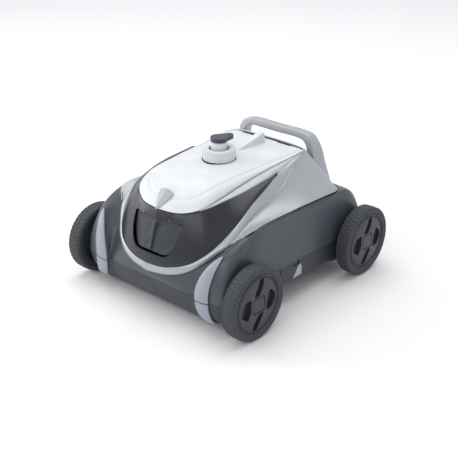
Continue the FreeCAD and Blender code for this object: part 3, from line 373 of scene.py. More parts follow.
LID_RIM = [(0, -167, 170.5), (32, -163.5, 172), (50, -155.5, 174.5), (66, -143, 180), (74, -126, 187),
           (76.5, -103, 192), (77, -75, 196.5), (77.3, -36, 202), (77.8, -8, 205), (78.5, 14, 207),
           (80, 50, 210), (80.5, 94, 212.7)]
PANEL_RIM = [(0, -168, 169.5), (32, -164.5, 171), (51, -156, 173.5), (66.5, -144.5, 178.5), (77, -130, 183.5),
             (84, -105, 188.5), (89, -75, 192), (91, -37, 196), (91, -8, 198.5), (90, 14, 200)]
BEHIND_TIP = [(90, 14, 200), (86.5, 50, 206), (80.5, 94, 212)]
PANEL_FOOT = [(0, -196, 89), (30, -193.5, 91), (52, -188, 96), (75, -177, 105), (93, -160, 120),
              (106, -137, 140), (114, -107, 164), (111, -75, 180), (103, -35, 189), (90, 14, 200)]
SHELL_FOOT = [(0, -196.5, 75), (38, -192, 79), (65, -184, 87), (86, -171, 100), (103, -154, 117),
              (119, -135, 136)]
CREASE = [(119, -135, 136), (122, -108, 151.5), (116.5, -72, 162), (110, -25, 170.5), (103, 11, 181),
          (94, 44, 197), (80.5, 94, 212)]
DECK_LINE = [(119, -135, 136), (138, -116, 155), (140, -62, 158), (140, -5, 156.5), (140, 38, 155),
             (140, 72, 153.5), (140, 104, 152)]
REAR_FOOT = [(140, 104, 152), (134, 119, 150), (108, 135, 148), (60, 143, 147), (0, 146, 147)]
REAR_HEAD = [(80.5, 94, 212), (76, 102, 212), (62, 106, 212.3), (34, 108.5, 212.5), (0, 109.5, 212.5)]
FRONT_SPANS = len(SHELL_FOOT) - 1
STRIP_START = 3     # control point of both rims from which the silver strip runs beside the lid
SHELL_GAP = Vector((0, 0, -0.7))    # from the lid's rim and the panel's foot to the shell's edges

LID_FRONT, LID_REAR = -167, 94      # the lid's ends along y
SPINE_FRONT = -92                   # where the crown's centre line starts
CROWN = 214.0                       # height of the flat part of the crown
CROWN_DROP, CROWN_REACH = 6.2, 90.0     # the crown falls by the drop over the reach, towards the front
SHOULDER = (-165, -105)             # over this range of y the shoulder gets steeper
GROOVE_DEPTH = 1.6                  # of the groove at the sides, beyond what the front has
FRONT_GROOVE_DEPTH = 0.3
HINGE_SLOT = (23, 53)               # the two slots for the lid's hinges: across, along and up
HINGE_SLOT_ALONG = (91.5, 99)
HINGE_SLOT_UP = (200, 220)
COLLAR_GAP = 1.1                    # dark ring between the dial's collar and the lid
COLLAR_GAP_UP = (190, 230)


def lid_crown(y):
    """Height of the lid on its centre line."""
    if y > 0:
        return CROWN
    return CROWN - CROWN_DROP * (y / -CROWN_REACH) ** 2.2


def lid_column(point):
    """A line of the lid, from a point on its rim over groove and shoulder to the centre line."""
    back = share_of(point.y, LID_FRONT, LID_REAR)
    spine = Vector((0, SPINE_FRONT + (LID_REAR - SPINE_FRONT) * back, 0))
    spine.z = lid_crown(spine.y)
    side = share_of(point.y, *SHOULDER)
    side = side * side * (3 - 2 * side)
    power = 2.2 + 1.8 * side
    root = 1 / (1.15 + 0.85 * side)
    groove_at = 0.20 - 0.13 * back
    groove_depth = FRONT_GROOVE_DEPTH + GROOVE_DEPTH * share_of(point.x, 22, 67) * (0.5 + 0.5 * back)
    # share of the way to the centre line, and how much of the groove's depth counts there
    below = [(s, 0.0) for s in (0, 0.04, 0.12, 0.3, 0.55, 0.8)] + [(0.93, 1.0), (1.0, 1.0)]
    above = [(0.012, 0.55)] + [(s, 0.0) for s in (0.035, 0.08, 0.15, 0.25, 0.4, 0.6, 0.8, 1.0)]
    shares = [(groove_at * s, dip) for s, dip in below]
    shares += [(groove_at + (1 - groove_at) * s, dip) for s, dip in above]
    column = []
    for share, dip in shares:
        place = point.lerp(spine, share)
        rise = (1 - (1 - share) ** power) ** root
        place.z = point.z + (spine.z - point.z) * rise - dip * groove_depth
        column.append(place)
    return column


def make_lid():
    """The white lid: a steep rounded shoulder, a soft groove above the rim and a flat crown."""
    columns = [lid_column(point) for point in curve(LID_RIM, RIM_SPAN)]
    mesh = sheet_mesh([list(zip(*columns))])
    lid = piece("lid_shell", mesh, "white_plastic", "lid", ["lid"], thick=SKIN, edge=0.5)
    start, end = HINGE_SLOT_ALONG
    tools = []
    for side in (-1, 1):
        left, right = span(side, *HINGE_SLOT)
        tools.append(cutter(slab(rectangle(left, start, right, end), *HINGE_SLOT_UP)))
    collar_low, collar_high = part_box("dial_collar")
    middle = (collar_low + collar_high) / 2 / MM
    reach = (collar_high.x - collar_low.x) / 2 / MM + COLLAR_GAP
    tools.append(cutter(slab(circle(middle, reach), *COLLAR_GAP_UP)))
    carve(lid, tools)


def make_fin():
    """The wedge behind the dial, with a vertical rear face."""
    foot, skirt = 212.5, 213.5
    # along the lid: place, height of the top, half width
    sections = [(10, 213.2, 0.8), (24, 216.6, 3.0), (45, 221.8, 4.6), (66, 227.3, 6.0), (80, 230.8, 7.0)]
    grid = []
    for y, top, half in sections:
        profile = [(half + 2, foot), (half + 0.6, skirt), (half, top - 0.8), (half - 0.8, top)]
        grid.append([Vector((-x, y, z)) for x, z in profile]
                    + [Vector((x, y, z)) for x, z in reversed(profile)])
    mesh = sheet_mesh([grid], both=False)
    close_ends(mesh)
    piece("lid_fin", mesh, "white_plastic", "lid", edge=0.6)


def make_lid_latch():
    """The faceted tab at the lid's front edge: two facets that meet in a ridge, with a step on one side."""
    ridge = [(-3, -170, 171.5), (-0.5, -161.5, 184.5), (0.5, -154, 192.5), (1.5, -147, 199)]
    left = [(-4, -169.5, 170.5), (-9, -161, 181.5), (-12, -153, 190), (-13, -147, 195)]
    right = [(-1, -169.5, 170.5), (8, -160, 181.5), (13, -153, 188.5), (13.5, -147, 193.5)]
    rows = [[Vector(p) for p in line] for line in (left, ridge, right)]
    mesh = sheet_mesh([rows], both=False, flip=True)
    piece("lid_latch_tab", mesh, "latch_grey", "lid_latch", ["lid_latch"], sharp=20, thick=3.0, edge=0.4)


FLAP_CORNERS = [(-50, 155.5), (-45.5, 126), (-31, 106), (34, 106), (45.5, 126), (50, 155.5)]
FLAP_RADII = [7, 14, 9, 9, 14, 3]
FLAP_MIDDLE = 132           # height that the flap's outline grows from
FLAP_GAP = 1.4              # black gap round the flap
FLAP_TOP_GAP = 1.8          # and this much more above it
FLAP_RIB_X = -2             # the flap's rib stands here
FLAP_DEPTH = 1.3            # how far the flap lies behind the panel's face
FLAP_TOP = 152              # points of the outline above this height belong to its top edge
HINGE_NOTCHES = (-24, 26)   # middles of the two notches above the flap
NOTCH_HALF = 2.2
NOTCH_UP = (150, 160)
PANEL_CUT = (-230, -140)    # a cut through the panel reaches from here to here along y
PANEL_LOW, PANEL_HIGH = 89, 170     # height of the panel's foot and rim on the centre line
PANEL_FRONT = -196                  # y of its foot there
PANEL_LEAN = 28                     # how far the rim lies behind the foot


def make_panel():
    """The gloss panel between the lid and the silver band, with the outlet opening."""
    rows = between(curve(PANEL_FOOT), curve(PANEL_RIM), 3.0, rows=12)
    panel = piece("front_panel_gloss", sheet_mesh([rows]), "gloss_black", "hull", ["front_panel"],
                  thick=SKIN, edge=0.4)
    low, high = NOTCH_UP
    shapes = [[(x, z + FLAP_TOP_GAP if z > FLAP_TOP else z) for x, z in flap_shape(FLAP_GAP)]]
    shapes += [rectangle(x - NOTCH_HALF, low, x + NOTCH_HALF, high) for x in HINGE_NOTCHES]
    carve(panel, [cutter(slab(shape, *PANEL_CUT, "y")) for shape in shapes])


def flap_shape(grow):
    """The outlet flap's outline seen from the front, with rounded corners, made larger by grow."""
    shape = []
    for point in rounded(FLAP_CORNERS, FLAP_RADII):
        out = (Vector(point) - Vector((0, FLAP_MIDDLE))).normalized()
        shape.append(tuple(Vector(point) + out * grow))
    return shape


def panel_y(x, z):
    """The panel's face at a point seen from the front, near the flap."""
    share = (z - PANEL_LOW) / (PANEL_HIGH - PANEL_LOW)
    return PANEL_FRONT + PANEL_LEAN * share + (abs(x) / 50) ** 2 * (8.5 - share)


def make_flap():
    """The outlet flap: a pane with a raised rim that dips towards its middle, and the rib on it."""
    mesh = bmesh.new()
    rings = []
    for inset, depth in ((0.0, 3.2), (0.0, 1.4), (1.0, 0.6), (3.5, 1.5), (12.0, 1.9), (30.0, 2.1)):
        ring = []
        for x, z in flap_shape(0):
            shift = Vector((FLAP_RIB_X - x, FLAP_MIDDLE - z))
            inward = min(inset, shift.length * 0.9)
            point = Vector((x, z)) + shift.normalized() * inward
            face = panel_y(point.x, point.y) + depth + FLAP_DEPTH
            ring.append(mesh.verts.new(Vector((point.x, face, point.y)) * MM))
        rings.append(ring)
    for ring, inner in zip(rings, rings[1:]):
        join_rings(mesh, ring, inner)
    mesh.faces.new(rings[-1])
    mesh.faces.new(list(reversed(rings[0])))
    bmesh.ops.recalc_face_normals(mesh, faces=mesh.faces)
    piece("outlet_flap_panes", mesh, "side_plastic", "outlet_flap", ["outlet_flap"], edge=0.3)
    make_flap_rib()


def make_flap_rib():
    """The upright rib on the outlet flap, lowest at its ends."""
    # up the flap: place, half width, how far the rib stands out
    sections = [(109, 1.8, 0.4), (116, 1.9, 1.8), (135, 2.0, 2.4), (150, 2.1, 2.2), (153, 2.1, 0.6)]
    grid = []
    for z, half, height in sections:
        face = panel_y(FLAP_RIB_X, z)
        profile = [(half + 0.8, face + 2.4), (half, face + 1.6), (half - 0.4, face + 1.4 - height)]
        grid.append([Vector((FLAP_RIB_X - x, y, z)) for x, y in profile]
                    + [Vector((FLAP_RIB_X + x, y, z)) for x, y in reversed(profile)])
    mesh = sheet_mesh([grid], both=False)
    close_ends(mesh)
    piece("outlet_flap_rib", mesh, "hull_plastic", "outlet_flap", edge=0.3)


def make_shell():
    """The silver shell: crescent band in front, strip above the panel, creased sides and the rear slope."""
    tail = curve(BEHIND_TIP)
    strip_low = curve(PANEL_RIM[STRIP_START:]) + tail[1:]
    strip_high = curve([Vector(p) + SHELL_GAP for p in LID_RIM[STRIP_START:]])
    upper = between(strip_low, strip_high, 0.8, rows=4)
    foot_and_crease = curve(SHELL_FOOT[:-1] + CREASE)
    head = curve([Vector(p) + SHELL_GAP for p in PANEL_FOOT]) + tail[1:]
    count = min(len(foot_and_crease), len(head))
    middle = between(foot_and_crease[:count], head[:count], 2.0, rows=10)
    crease = foot_and_crease[FRONT_SPANS * SPAN:]
    side = between(curve(DECK_LINE), crease, -1.5, end_bulge=0.0)
    raise_crease(middle, side)
    rear = between(curve(REAR_FOOT), curve(REAR_HEAD), 0.0)
    mesh = sheet_mesh([upper, middle, side, rear])
    piece("silver_shell", mesh, "silver_plastic", "hull", ["upper_shell"], thick=SKIN, edge=0.4)


def raise_crease(middle, side):
    """Turns the line where the shell's front and side sheets meet into a low, crisp ridge."""
    height, half_width = 1.3, 2.2
    fade = 8    # grid steps over which the ridge rises at each end
    start = FRONT_SPANS * SPAN
    crease = [point.copy() for point in side[-1]]
    last = len(crease) - 1
    under_side = [point.copy() for point in crease]
    under_middle = [point.copy() for point in middle[0]]
    for index, point in enumerate(crease):
        along = crease[min(index + 1, last)] - crease[max(index - 1, 0)]
        down = side[-2][index] - point
        out = along.cross(-down)
        if out.length < 1e-6 or down.length < 1e-6:
            continue
        share = min(1.0, index / fade, (last - index) / fade)
        under_side[index] = point + down.normalized() * half_width * share
        ridge = point + out.normalized() * height * share
        side[-1][index] = ridge
        place = start + index
        if place < len(middle[0]):
            up = middle[1][place] - point
            under_middle[place] = point + up.normalized() * min(half_width * share, up.length * 0.7)
            middle[0][place] = ridge
    side.insert(len(side) - 1, under_side)
    middle.insert(1, under_middle)


def make_handle():
    """The carry handle: a bar with a flat front face on two legs that flare into the shell."""
    front_softness, rear_softness = 0.1, 0.3    # share of a side that a rounded corner takes
    # each section: inner front, outer front, outer rear, inner rear
    sections = [
        [(0, 116, 221), (0, 117.5, 232.5), (0, 138, 231), (0, 137, 222)],
        [(50, 116, 221), (54, 117.5, 232.5), (54, 138, 231), (50, 137, 222)],
        [(61, 116, 218), (69, 118, 229), (69, 139, 227.5), (61, 137, 218.5)],
        [(66, 116.5, 211), (78, 118, 219), (79, 140, 217.5), (66.5, 138, 211)],
        [(68.5, 117, 201), (83, 117, 206), (87, 141, 204), (70, 139, 200)],
        [(71, 118, 189), (87.5, 113, 192), (93.5, 140, 188), (74, 139, 187)],
        [(74, 117, 176), (94, 107, 178), (105, 134, 171), (84, 138, 172)],
        [(82, 112, 162), (108, 100, 162), (122, 120, 156), (104, 134, 156)],
    ]
    rings = []
    for section in sections:
        corners = [Vector(corner) for corner in section]
        ring = []
        for index, corner in enumerate(corners):
            before, after = corners[index - 1], corners[(index + 1) % 4]
            softness = front_softness if index < 2 else rear_softness
            ring += bend(corner.lerp(before, softness), corner, corner.lerp(after, softness), 3)
        rings.append(ring + ring[:1])
    mesh = sheet_mesh([[curve(line, 5) for line in zip(*rings)]])
    close_ends(mesh)
    piece("carry_handle_arch", mesh, "silver_plastic", "hull", ["carry_handle"], sharp=50)


# ---------------------------------------------------------------- hull: chassis, tray, trims

# Columns of the upper chassis, from the pod's rim outward and down to the seam with the tray.
CHASSIS = [
    [(0, -195.8, 74), (0, -195, 71.5), (0, -193.8, 69), (0, -192.6, 66.5), (0, -191.5, 64), (0, -190.5, 61)],
    [(38, -191.3, 78), (38, -191.8, 75), (37.5, -192.4, 71), (37, -192.2, 67.5), (36.5, -191.6, 64.5),
     (36, -190.8, 61)],
    [(65, -183.2, 86), (65.5, -185.5, 80), (65.5, -188, 74), (65, -190, 69), (64.5, -191, 65),
     (64, -190.8, 61)],
    [(86, -170.2, 99), (87.5, -174.5, 90), (88, -180, 79), (87.5, -184.5, 70.5), (87, -187.2, 65.5),
     (86, -188.2, 61)],
    [(94, -162, 107), (97, -167.5, 99), (99, -173.5, 88), (99, -179.5, 76.5), (98, -184, 68), (97, -186, 61)],
    [(103, -153, 116), (107.5, -160, 112), (109, -168.5, 105), (106.5, -179, 92), (101, -187.5, 76),
     (99.5, -190.5, 61)],
    [(112, -143, 126.5), (117.5, -152, 126), (121, -162, 121), (119, -175, 110), (110, -188.5, 84),
     (107, -191, 61)],
    [(120, -133, 136), (125, -145, 136), (129.5, -158, 133), (130, -171, 122), (126.5, -186, 92),
     (124.5, -189.5, 61)],
    [(130, -122.5, 147.5), (136, -133, 146), (140, -147, 140), (143, -163, 125), (146.5, -181, 90),
     (146.5, -186.5, 61)],
    [(138, -114.5, 154.7), (141, -121, 152.5), (144, -133, 145), (148, -150, 128), (151, -170, 92),
     (151, -177, 61)],
    [(139.6, -104, 156.5), (141.2, -107, 157), (143.5, -114, 150), (147, -131, 133), (150.5, -153, 93),
     (150.5, -158, 61)],
    [(140, -88, 157.6), (141.6, -92, 159.6), (143.5, -95, 152), (149, -112, 134), (152, -130, 96),
     (150.5, -130, 64)],
    [(140, -66, 158), (141.5, -68, 159.8), (143, -68, 151), (146, -76, 130), (151, -92, 98),
     (150.2, -92, 71)],
    [(140, -40, 157.6), (141.4, -40, 159.4), (142.5, -40, 150), (145, -44, 126), (148.5, -56, 98),
     (150, -60, 71.5)],
    [(140, -5, 156.3), (141.4, -5, 158.1), (142.4, -5, 149), (145, -5, 124), (147.8, -8, 98),
     (150, -8, 71)],
    [(140, 38, 154.8), (141.4, 38, 156.6), (142.4, 38, 147), (145, 38, 122), (147.8, 38, 97),
     (150, 38, 69.5)],
    [(140, 75, 153.2), (141.4, 75, 155), (142.6, 76, 146), (145.2, 78, 121), (148, 82, 96), (150, 82, 68)],
    [(139.5, 104, 151.8), (142, 107, 153.4), (144, 109, 145), (147, 112, 122), (149.5, 114, 96),
     (150, 114, 67)],
    [(133, 119, 149.8), (141, 131, 148.5), (145, 138, 141), (149, 143, 120), (151, 146, 95), (150, 146, 66)],
    [(122, 127, 149), (132, 146, 143), (138, 156, 134), (144, 163, 116), (148, 169, 93), (149, 172, 66)],
    [(108, 134, 147.8), (114, 152, 141), (118, 163, 131), (122, 172, 114), (126, 180, 93), (128, 184, 66)],
    [(60, 142.2, 146.8), (62, 156, 141), (63, 166, 131), (64, 175, 114), (65, 182, 93), (66, 186, 66)],
    [(0, 145.2, 146.8), (0, 158, 141), (0, 167, 131), (0, 176, 114), (0, 183, 93), (0, 186.5, 66)],
]

# Columns of the tray, from the seam down, under the belly and in to the middle.
TRAY = [
    [(0, -190, 60.2), (0, -187.5, 47), (0, -182, 32), (0, -174, 17.5), (0, -160, 15), (0, -90, 15)],
    [(64, -190, 60.2), (64, -187.5, 47), (64, -182, 32), (64, -174, 17.5), (62, -160, 15), (48, -90, 15)],
    [(92, -187, 60.2), (92, -186, 47), (92, -181, 32), (92, -174.5, 17.5), (88, -160, 15), (70, -90, 15)],
    [(103, -190.2, 60.2), (105, -189.5, 47), (107, -186, 32), (110, -177, 19.5), (100, -158, 15),
     (80, -90, 15)],
    [(124.5, -189.3, 60.2), (126, -188.2, 45), (129, -182, 29), (129, -173, 20.5), (108, -155, 15.2),
     (84, -90, 15)],
    [(146, -186, 60.2), (146, -184, 48), (145, -178, 36), (139, -166, 26), (110, -146, 15.5),
     (86, -86, 15)],
    [(150.5, -175, 60.2), (150, -172, 50), (148, -164, 40), (138, -146, 30), (110, -128, 15.5),
     (88, -80, 15)],
    [(150.3, -130, 63), (150, -130, 52), (149, -128, 42), (136, -120, 34), (110, -110, 15.5),
     (90, -70, 15)],
    [(150, -92, 70), (149.5, -90, 56), (148.5, -88, 42), (134, -80, 36), (110, -70, 15.5), (92, -50, 15)],
    [(149.8, -58, 70.5), (149.2, -56, 56), (148, -54, 40), (134, -50, 36), (110, -46, 15.5), (93, -40, 15)],
    [(149.8, -8, 70), (149.2, -8, 56), (148, -8, 39.5), (134, -8, 36), (110, -8, 15.5), (93, -8, 15)],
    [(149.8, 38, 68.5), (149.2, 38, 54), (148, 38, 38.5), (134, 38, 36), (110, 36, 15.5), (93, 30, 15)],
    [(149.8, 82, 67), (149.2, 82, 50), (147.5, 80, 33), (134, 78, 30), (110, 70, 15.5), (92, 56, 15)],
    [(149.8, 114, 66), (149, 112, 46), (146, 108, 26), (134, 104, 24), (110, 94, 15.5), (90, 74, 15)],
    [(149.8, 146, 65), (149, 144, 46), (146, 140, 28), (132, 132, 24), (108, 116, 15.5), (84, 82, 15)],
    [(148.6, 172, 65), (147, 168, 46), (142, 160, 30), (126, 150, 22), (100, 130, 15.5), (74, 86, 15)],
    [(127, 183.5, 65), (125, 180, 46), (120, 174, 30), (108, 162, 19), (86, 140, 15.5), (60, 88, 15)],
    [(66, 185.6, 65), (65, 183, 46), (64, 178, 30), (60, 168, 18), (50, 146, 15.5), (36, 90, 15)],
    [(0, 186, 65), (0, 183.5, 46), (0, 178.5, 30), (0, 168.5, 18), (0, 146, 15.5), (0, 90, 15)],
]


DECK_FROM = 137                             # from this x outward the chassis' rim runs along the deck
RIM_SHIFT = Vector((-0.6, 0, -4.2))         # there the rim drops behind the shell's foot
LIP_SHIFT = Vector((0.7, 0, -3.0))          # and the lip stands out, which leaves a shadow gap
SEAM_TICKS = (-56, 41)                      # middles of the two short upright seams in each side wall
TICK_HALF = 0.4
TICK_UP = (60, 84)
SIDE_WALL = (144, 156)                      # a cut through the chassis' side wall, across
TRAY_WALL = (143, 158)                      # and through the tray's
LATCH_GAP = 0.9                             # dark gap round a side latch
LATCH_OPEN_BELOW = 12                       # the opening runs on this far below the latch


def make_chassis():
    """The dark upper chassis: hood, fenders, deck ledge and side walls in one moulding."""
    columns = []
    for column in CHASSIS:
        rim, lip = Vector(column[0]), Vector(column[1])
        if rim.x > DECK_FROM:
            rim, lip = rim + RIM_SHIFT, lip + LIP_SHIFT
        columns.append([rim, lip] + column[2:])
    mesh = sheet_mesh([surface(columns)], flip=True)
    chassis = piece("upper_chassis_moulding", mesh, "hull_plastic", "hull", ["upper_chassis"],
                    sharp=50, thick=SKIN, edge=0.35)
    low, high = TICK_UP
    ticks = []
    for side in (-1, 1):
        for y in SEAM_TICKS:
            tick = rectangle(y - TICK_HALF, low, y + TICK_HALF, high)
            ticks.append(cutter(slab(tick, *span(side, *SIDE_WALL), "x")))
    carve(chassis, ticks)


def make_latch_mark(name, side, low, high):
    """The light quarter-round inlay that shows which way the side latch turns."""
    base = low.z + 2.5
    height = (high.z - low.z) * 0.62
    front = low.y + (high.y - low.y) * 0.40
    rear = front + 22
    shape = [(front, base), (rear, base), (rear, base + height * 0.75), (rear - 3, base + height),
             (rear - 8, base + height * 0.95)]
    outline = rounded(shape, [0.8, 0.8, 3, 1.5, 3])
    face = high.x if side > 0 else low.x
    depth = sorted((face - side * 0.6, face + side * 0.5))
    piece(f"side_latch_{name}_mark", slab(outline, *depth, "x"), "latch_grey", f"side_latch_{name}")


def make_tray():
    """The lower tub, from the seam down to the belly, with an opening round each side latch."""
    mesh = sheet_mesh([surface(TRAY)], flip=True)
    tray = piece("lower_tray_moulding", mesh, "side_plastic", "hull", ["lower_tray"],
                 sharp=50, thick=SKIN, edge=0.35)
    openings = []
    for side, name in ((1, "right"), (-1, "left")):
        low, high = [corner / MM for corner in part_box(f"side_latch_{name}")]
        front, rear = low.y - LATCH_GAP, high.y + LATCH_GAP
        opening = rectangle(front, low.z - LATCH_OPEN_BELOW, rear, high.z + LATCH_GAP)
        openings.append(cutter(slab(opening, *span(side, *TRAY_WALL), "x")))
        make_latch_mark(name, side, low, high)
    carve(tray, openings)


TRIM_LEFT = [(127, -174, 18.2), (111, -184, 23), (101.5, -190.5, 38), (98.8, -193, 56), (99.5, -193.2, 74),
             (104, -190.5, 92), (112, -183.5, 110), (121.5, -173.5, 124), (129, -166, 131.5)]
TRIM_RIGHT = [(132, -176, 18.8), (129.5, -184.5, 26), (126, -190.5, 42), (125, -192, 58), (125.2, -191.7, 75),
              (127, -188.8, 92), (129.3, -181.5, 110), (131.5, -172.5, 124), (132.5, -165, 132)]
TRIM_SEAM = 25      # grid step along a trim from which the upper trim begins


def blend(start_line, end_line, share):
    """The line that lies this share of the way from one line to another."""
    return [a.lerp(b, share) for a, b in zip(start_line, end_line)]


def make_trims():
    """Trims round the front fenders, in a light grey that is painted highlight on slate plastic: two facets
    that meet in a ridge, split by a seam across them.
    """
    left = curve(TRIM_LEFT, RIM_SPAN)
    right = curve(TRIM_RIGHT, RIM_SPAN)
    ridge = []
    for a, b in zip(left, right):
        width = (b - a).length
        ridge.append(a.lerp(b, 0.6) + Vector((0, -0.10 * width, 0.3)))
    rows = [blend(left, ridge, share) for share in (0, 0.5)]
    rows += [blend(ridge, right, share) for share in (0, 0.5, 1)]
    lower = [row[:TRIM_SEAM] for row in rows]
    upper = [row[TRIM_SEAM:] for row in rows]
    for side, mark in ((1, "right"), (-1, "left")):
        for level, part in (("lower", lower), ("upper", upper)):
            moved = [[Vector((p.x * side, p.y, p.z)) for p in row] for row in part]
            mesh = sheet_mesh([moved], both=False, flip=side > 0)
            # painted highlight: the trims get the light grey where the slate plastic catches the left light
            piece(f"fender_trim_{level}_{mark}_facets", mesh, "trim_grey", "hull",
                  [f"fender_trim_{level}_{mark}"], sharp=25, thick=3.0, edge=0.35)


# ---------------------------------------------------------------- wheels

LUGS = 48
STEPS_PER_LUG = 8
ALL_ROUND = tuple(range(STEPS_PER_LUG))
# Point of the tyre's profile -> how far it sinks, and at which steps of a lug. Grooves run round the tyre
# at the points 5, 6, 11 and 12; gaps between the blocks are staggered from one band to the next.
GROOVES = {
    3: (0.9, (0, 1)), 4: (1.3, (0, 1)), 5: (0.5, ALL_ROUND), 6: (1.1, ALL_ROUND),
    7: (1.3, (3, 4)), 8: (1.3, (3, 4)), 9: (1.3, (7, 0)), 10: (1.3, (7, 0)),
    11: (1.1, ALL_ROUND), 12: (0.5, ALL_ROUND), 13: (1.3, (0, 1)), 14: (0.9, (0, 1)),
}
# Windows of a wheel seen from its outer face: (forward, up) from the axle, and the radii of the corners.
SLOT_WINDOW = ([(-13, 40.5), (-4.5, 42.5), (10, 19), (9, 14), (-1, 16), (-10, 29)], [3, 3, 2, 2, 2, 2])
WIDE_WINDOW = ([(17, 16), (31, 15), (39.5, 3), (38, -8), (25, -18), (18, -6)], [3, 3, 3, 3, 2, 2])
CAP_HALF = 11.6         # half the width of the square centre cap
CAP_RADIUS = 2.2        # of its corners
SEAT_HALF, SEAT_RADIUS = 12.9, 2.6      # of the recess that it sits in
SEAT_DEPTH = 5
WINDOW_DEPTH = 9
CUT_PAST = 4            # a cut starts this far outside the wheel


def wheel_frame(corner):
    """Centre, outer side, half width and radius of a wheel, from the tyre's box in the frame."""
    low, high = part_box(f"tyre_{corner}")
    centre = (low + high) / 2
    side = 1 if centre.x > 0 else -1
    return centre, side, (high.x - low.x) / 2 / MM, (high.z - low.z) / 2 / MM


def move_out(mesh, centre, side):
    """Puts a mesh that was made round the x axis at a wheel, outer face outward."""
    for vert in mesh.verts:
        vert.co = Vector((vert.co.x * side, vert.co.y, vert.co.z)) + centre
    bmesh.ops.recalc_face_normals(mesh, faces=mesh.faces)


def tread(step, index):
    """How far a point of the tyre's profile sinks at one step round the tyre."""
    depth, steps = GROOVES.get(index, (0.0, ()))
    return depth if step % STEPS_PER_LUG in steps else 0.0


def make_tyre(corner):
    """A rubber tyre with rounded shoulders, a band of side lugs and staggered tread blocks."""
    centre, side, half, radius = wheel_frame(corner)
    crown = [(x, radius) for x in (-8.6, -8.0, -3.2, -2.6, 2.6, 3.2, 8.0, 8.6)]
    profile = [(-half + 1, 49.2), (-half, 52), (-half, radius - 5), (-half + 1.2, radius - 2),
               (-half + 3.4, radius - 0.4), *crown, (half - 3.4, radius - 0.4), (half - 1.2, radius - 2),
               (half, radius - 5), (half, 53.5), (half - 0.8, 52.6), (half - 1.6, 49.2)]
    mesh = turned(profile, LUGS * STEPS_PER_LUG, tread)
    move_out(mesh, centre, side)
    piece(f"tyre_{corner}_tread", mesh, "tyre_rubber", f"wheel_{corner}", [f"tyre_{corner}"], sharp=28)


def make_hub(corner):
    """The wheel's disc: recessed ring, raised face with four windows and a seat for the centre cap."""
    centre, side, half, _ = wheel_frame(corner)
    profile = [(half - 24, 42), (half - 24, 49), (half - 0.6, 49), (half - 0.6, 47.6), (half - 4.2, 46.4),
               (half - 4.2, 44.2), (half - 2.6, 43.2), (half - 1.4, 30), (half - 0.9, 19), (half - 0.9, 0.05),
               (half - 12, 0.05), (half - 12, 42)]
    mesh = turned(profile, ROUND_STEPS)
    move_out(mesh, centre, side)
    hub = piece(f"hub_{corner}_disc", mesh, "hub_plastic", f"wheel_{corner}", [f"hub_{corner}"], edge=0.3)
    shapes = [(rounded_square(SEAT_HALF, SEAT_RADIUS), SEAT_DEPTH)]
    for corners, radii in (SLOT_WINDOW, WIDE_WINDOW):
        window = rounded(corners, radii)
        shapes += [([(-way * a, way * b) for a, b in window], WINDOW_DEPTH) for way in (1, -1)]
    middle = centre / MM
    tools = []
    for shape, depth in shapes:
        outline = [(middle.y + a, middle.z + b) for a, b in shape]
        reach = sorted((middle.x + side * (half - depth), middle.x + side * (half + CUT_PAST)))
        tools.append(cutter(slab(outline, *reach, "x")))
    carve(hub, tools)


def make_cap(corner):
    """The square centre cap with rounded corners and a bevelled edge."""
    centre, side, half, _ = wheel_frame(corner)
    face, bevel = half - 0.7, 0.7
    rings = []
    mesh = bmesh.new()
    for x, size in ((half - 6, CAP_HALF), (face - bevel, CAP_HALF), (face, CAP_HALF - bevel), (face, 6)):
        ring = rounded_square(size, CAP_RADIUS)
        rings.append([mesh.verts.new(Vector((x, a, b)) * MM) for a, b in ring])
    for ring, following in zip(rings, rings[1:]):
        join_rings(mesh, ring, following)
    mesh.faces.new(rings[0])
    mesh.faces.new(rings[-1])
    move_out(mesh, centre, side)
    piece(f"hub_cap_{corner}_face", mesh, "hub_plastic", f"wheel_{corner}", [f"hub_cap_{corner}"], sharp=25)


make_lid()
make_fin()
make_lid_latch()
make_panel()
make_flap()
make_shell()
make_handle()
make_chassis()
make_tray()
make_trims()
for corner_name in ("front_left", "front_right", "rear_left", "rear_right"):
    make_tyre(corner_name)
    make_hub(corner_name)
    make_cap(corner_name)


# ---------------------------------------------------------------- stage, light and camera

CAMERA_TURN = math.radians(41.48)
CAMERA_RISE = math.radians(25.52)
CAMERA_DISTANCE = 1594.3 * MM
CAMERA_AIM = Vector((-2.4, 0.0, 75.7)) * MM
CAMERA_LENS = 73.55                 # focal length in millimetres, on a sensor 36 mm wide
LIGHT_AIM = Vector((0.0, 0.0, 0.1))
FLOOR_HALF = 9.0                    # metres
FLOOR_WHITE = (0.90, 0.90, 0.90)
SKY_COLOUR = (0.95, 0.97, 1.0, 1.0)
SKY_STRENGTH = 0.74


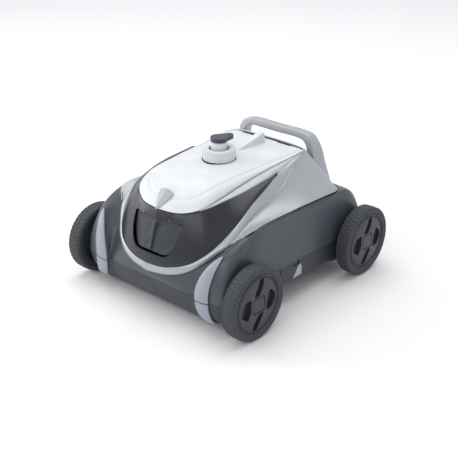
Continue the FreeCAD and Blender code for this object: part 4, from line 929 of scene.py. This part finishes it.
def add_camera():
    """The camera, at the place and with the lens that its named values give."""
    back = Vector((math.sin(CAMERA_TURN) * math.cos(CAMERA_RISE),
                   -math.cos(CAMERA_TURN) * math.cos(CAMERA_RISE),
                   math.sin(CAMERA_RISE)))
    data = bpy.data.cameras.new("camera")
    data.lens = CAMERA_LENS
    data.sensor_width = 36.0
    data.clip_start = 0.05
    camera = bpy.data.objects.new("camera", data)
    camera.location = CAMERA_AIM + back * CAMERA_DISTANCE
    camera.rotation_euler = back.to_track_quat("Z", "Y").to_euler()
    bpy.context.scene.collection.objects.link(camera)
    bpy.context.scene.camera = camera


def add_softbox(name, place, width, height, watts):
    """A soft rectangular light, turned towards the object."""
    data = bpy.data.lights.new(name, "AREA")
    data.shape = "RECTANGLE"
    data.size = width
    data.size_y = height
    data.energy = watts
    light = bpy.data.objects.new(name, data)
    light.location = place
    light.rotation_euler = (Vector(place) - LIGHT_AIM).to_track_quat("Z", "Y").to_euler()
    bpy.context.scene.collection.objects.link(light)


def add_floor():
    """A plain pale floor."""
    mesh = bpy.data.meshes.new("floor")
    corners = [(x, y, 0) for x, y in rectangle(-FLOOR_HALF, -FLOOR_HALF, FLOOR_HALF, FLOOR_HALF)]
    mesh.from_pydata(corners, [], [(0, 1, 2, 3)])
    mesh.materials.append(moulded("floor_white", FLOOR_WHITE, 0.7, grain=0.002, mottle=0.005))
    floor = bpy.data.objects.new("floor", mesh)
    bpy.context.scene.collection.objects.link(floor)


def add_world():
    """Even, slightly cool light from all sides."""
    world = bpy.data.worlds.new("studio")
    world.use_nodes = True
    background = world.node_tree.nodes["Background"]
    background.inputs["Color"].default_value = SKY_COLOUR
    background.inputs["Strength"].default_value = SKY_STRENGTH
    bpy.context.scene.world = world


add_camera()
add_floor()
add_world()
add_softbox("light_top", (-0.4, 0.5, 2.4), 2.8, 2.8, 34)
add_softbox("light_left", (-1.7, -0.8, 0.8), 1.2, 1.2, 13)
add_softbox("light_front", (0.1, -1.8, 1.3), 1.6, 0.6, 7)
bpy.context.scene.view_settings.view_transform = "Standard"
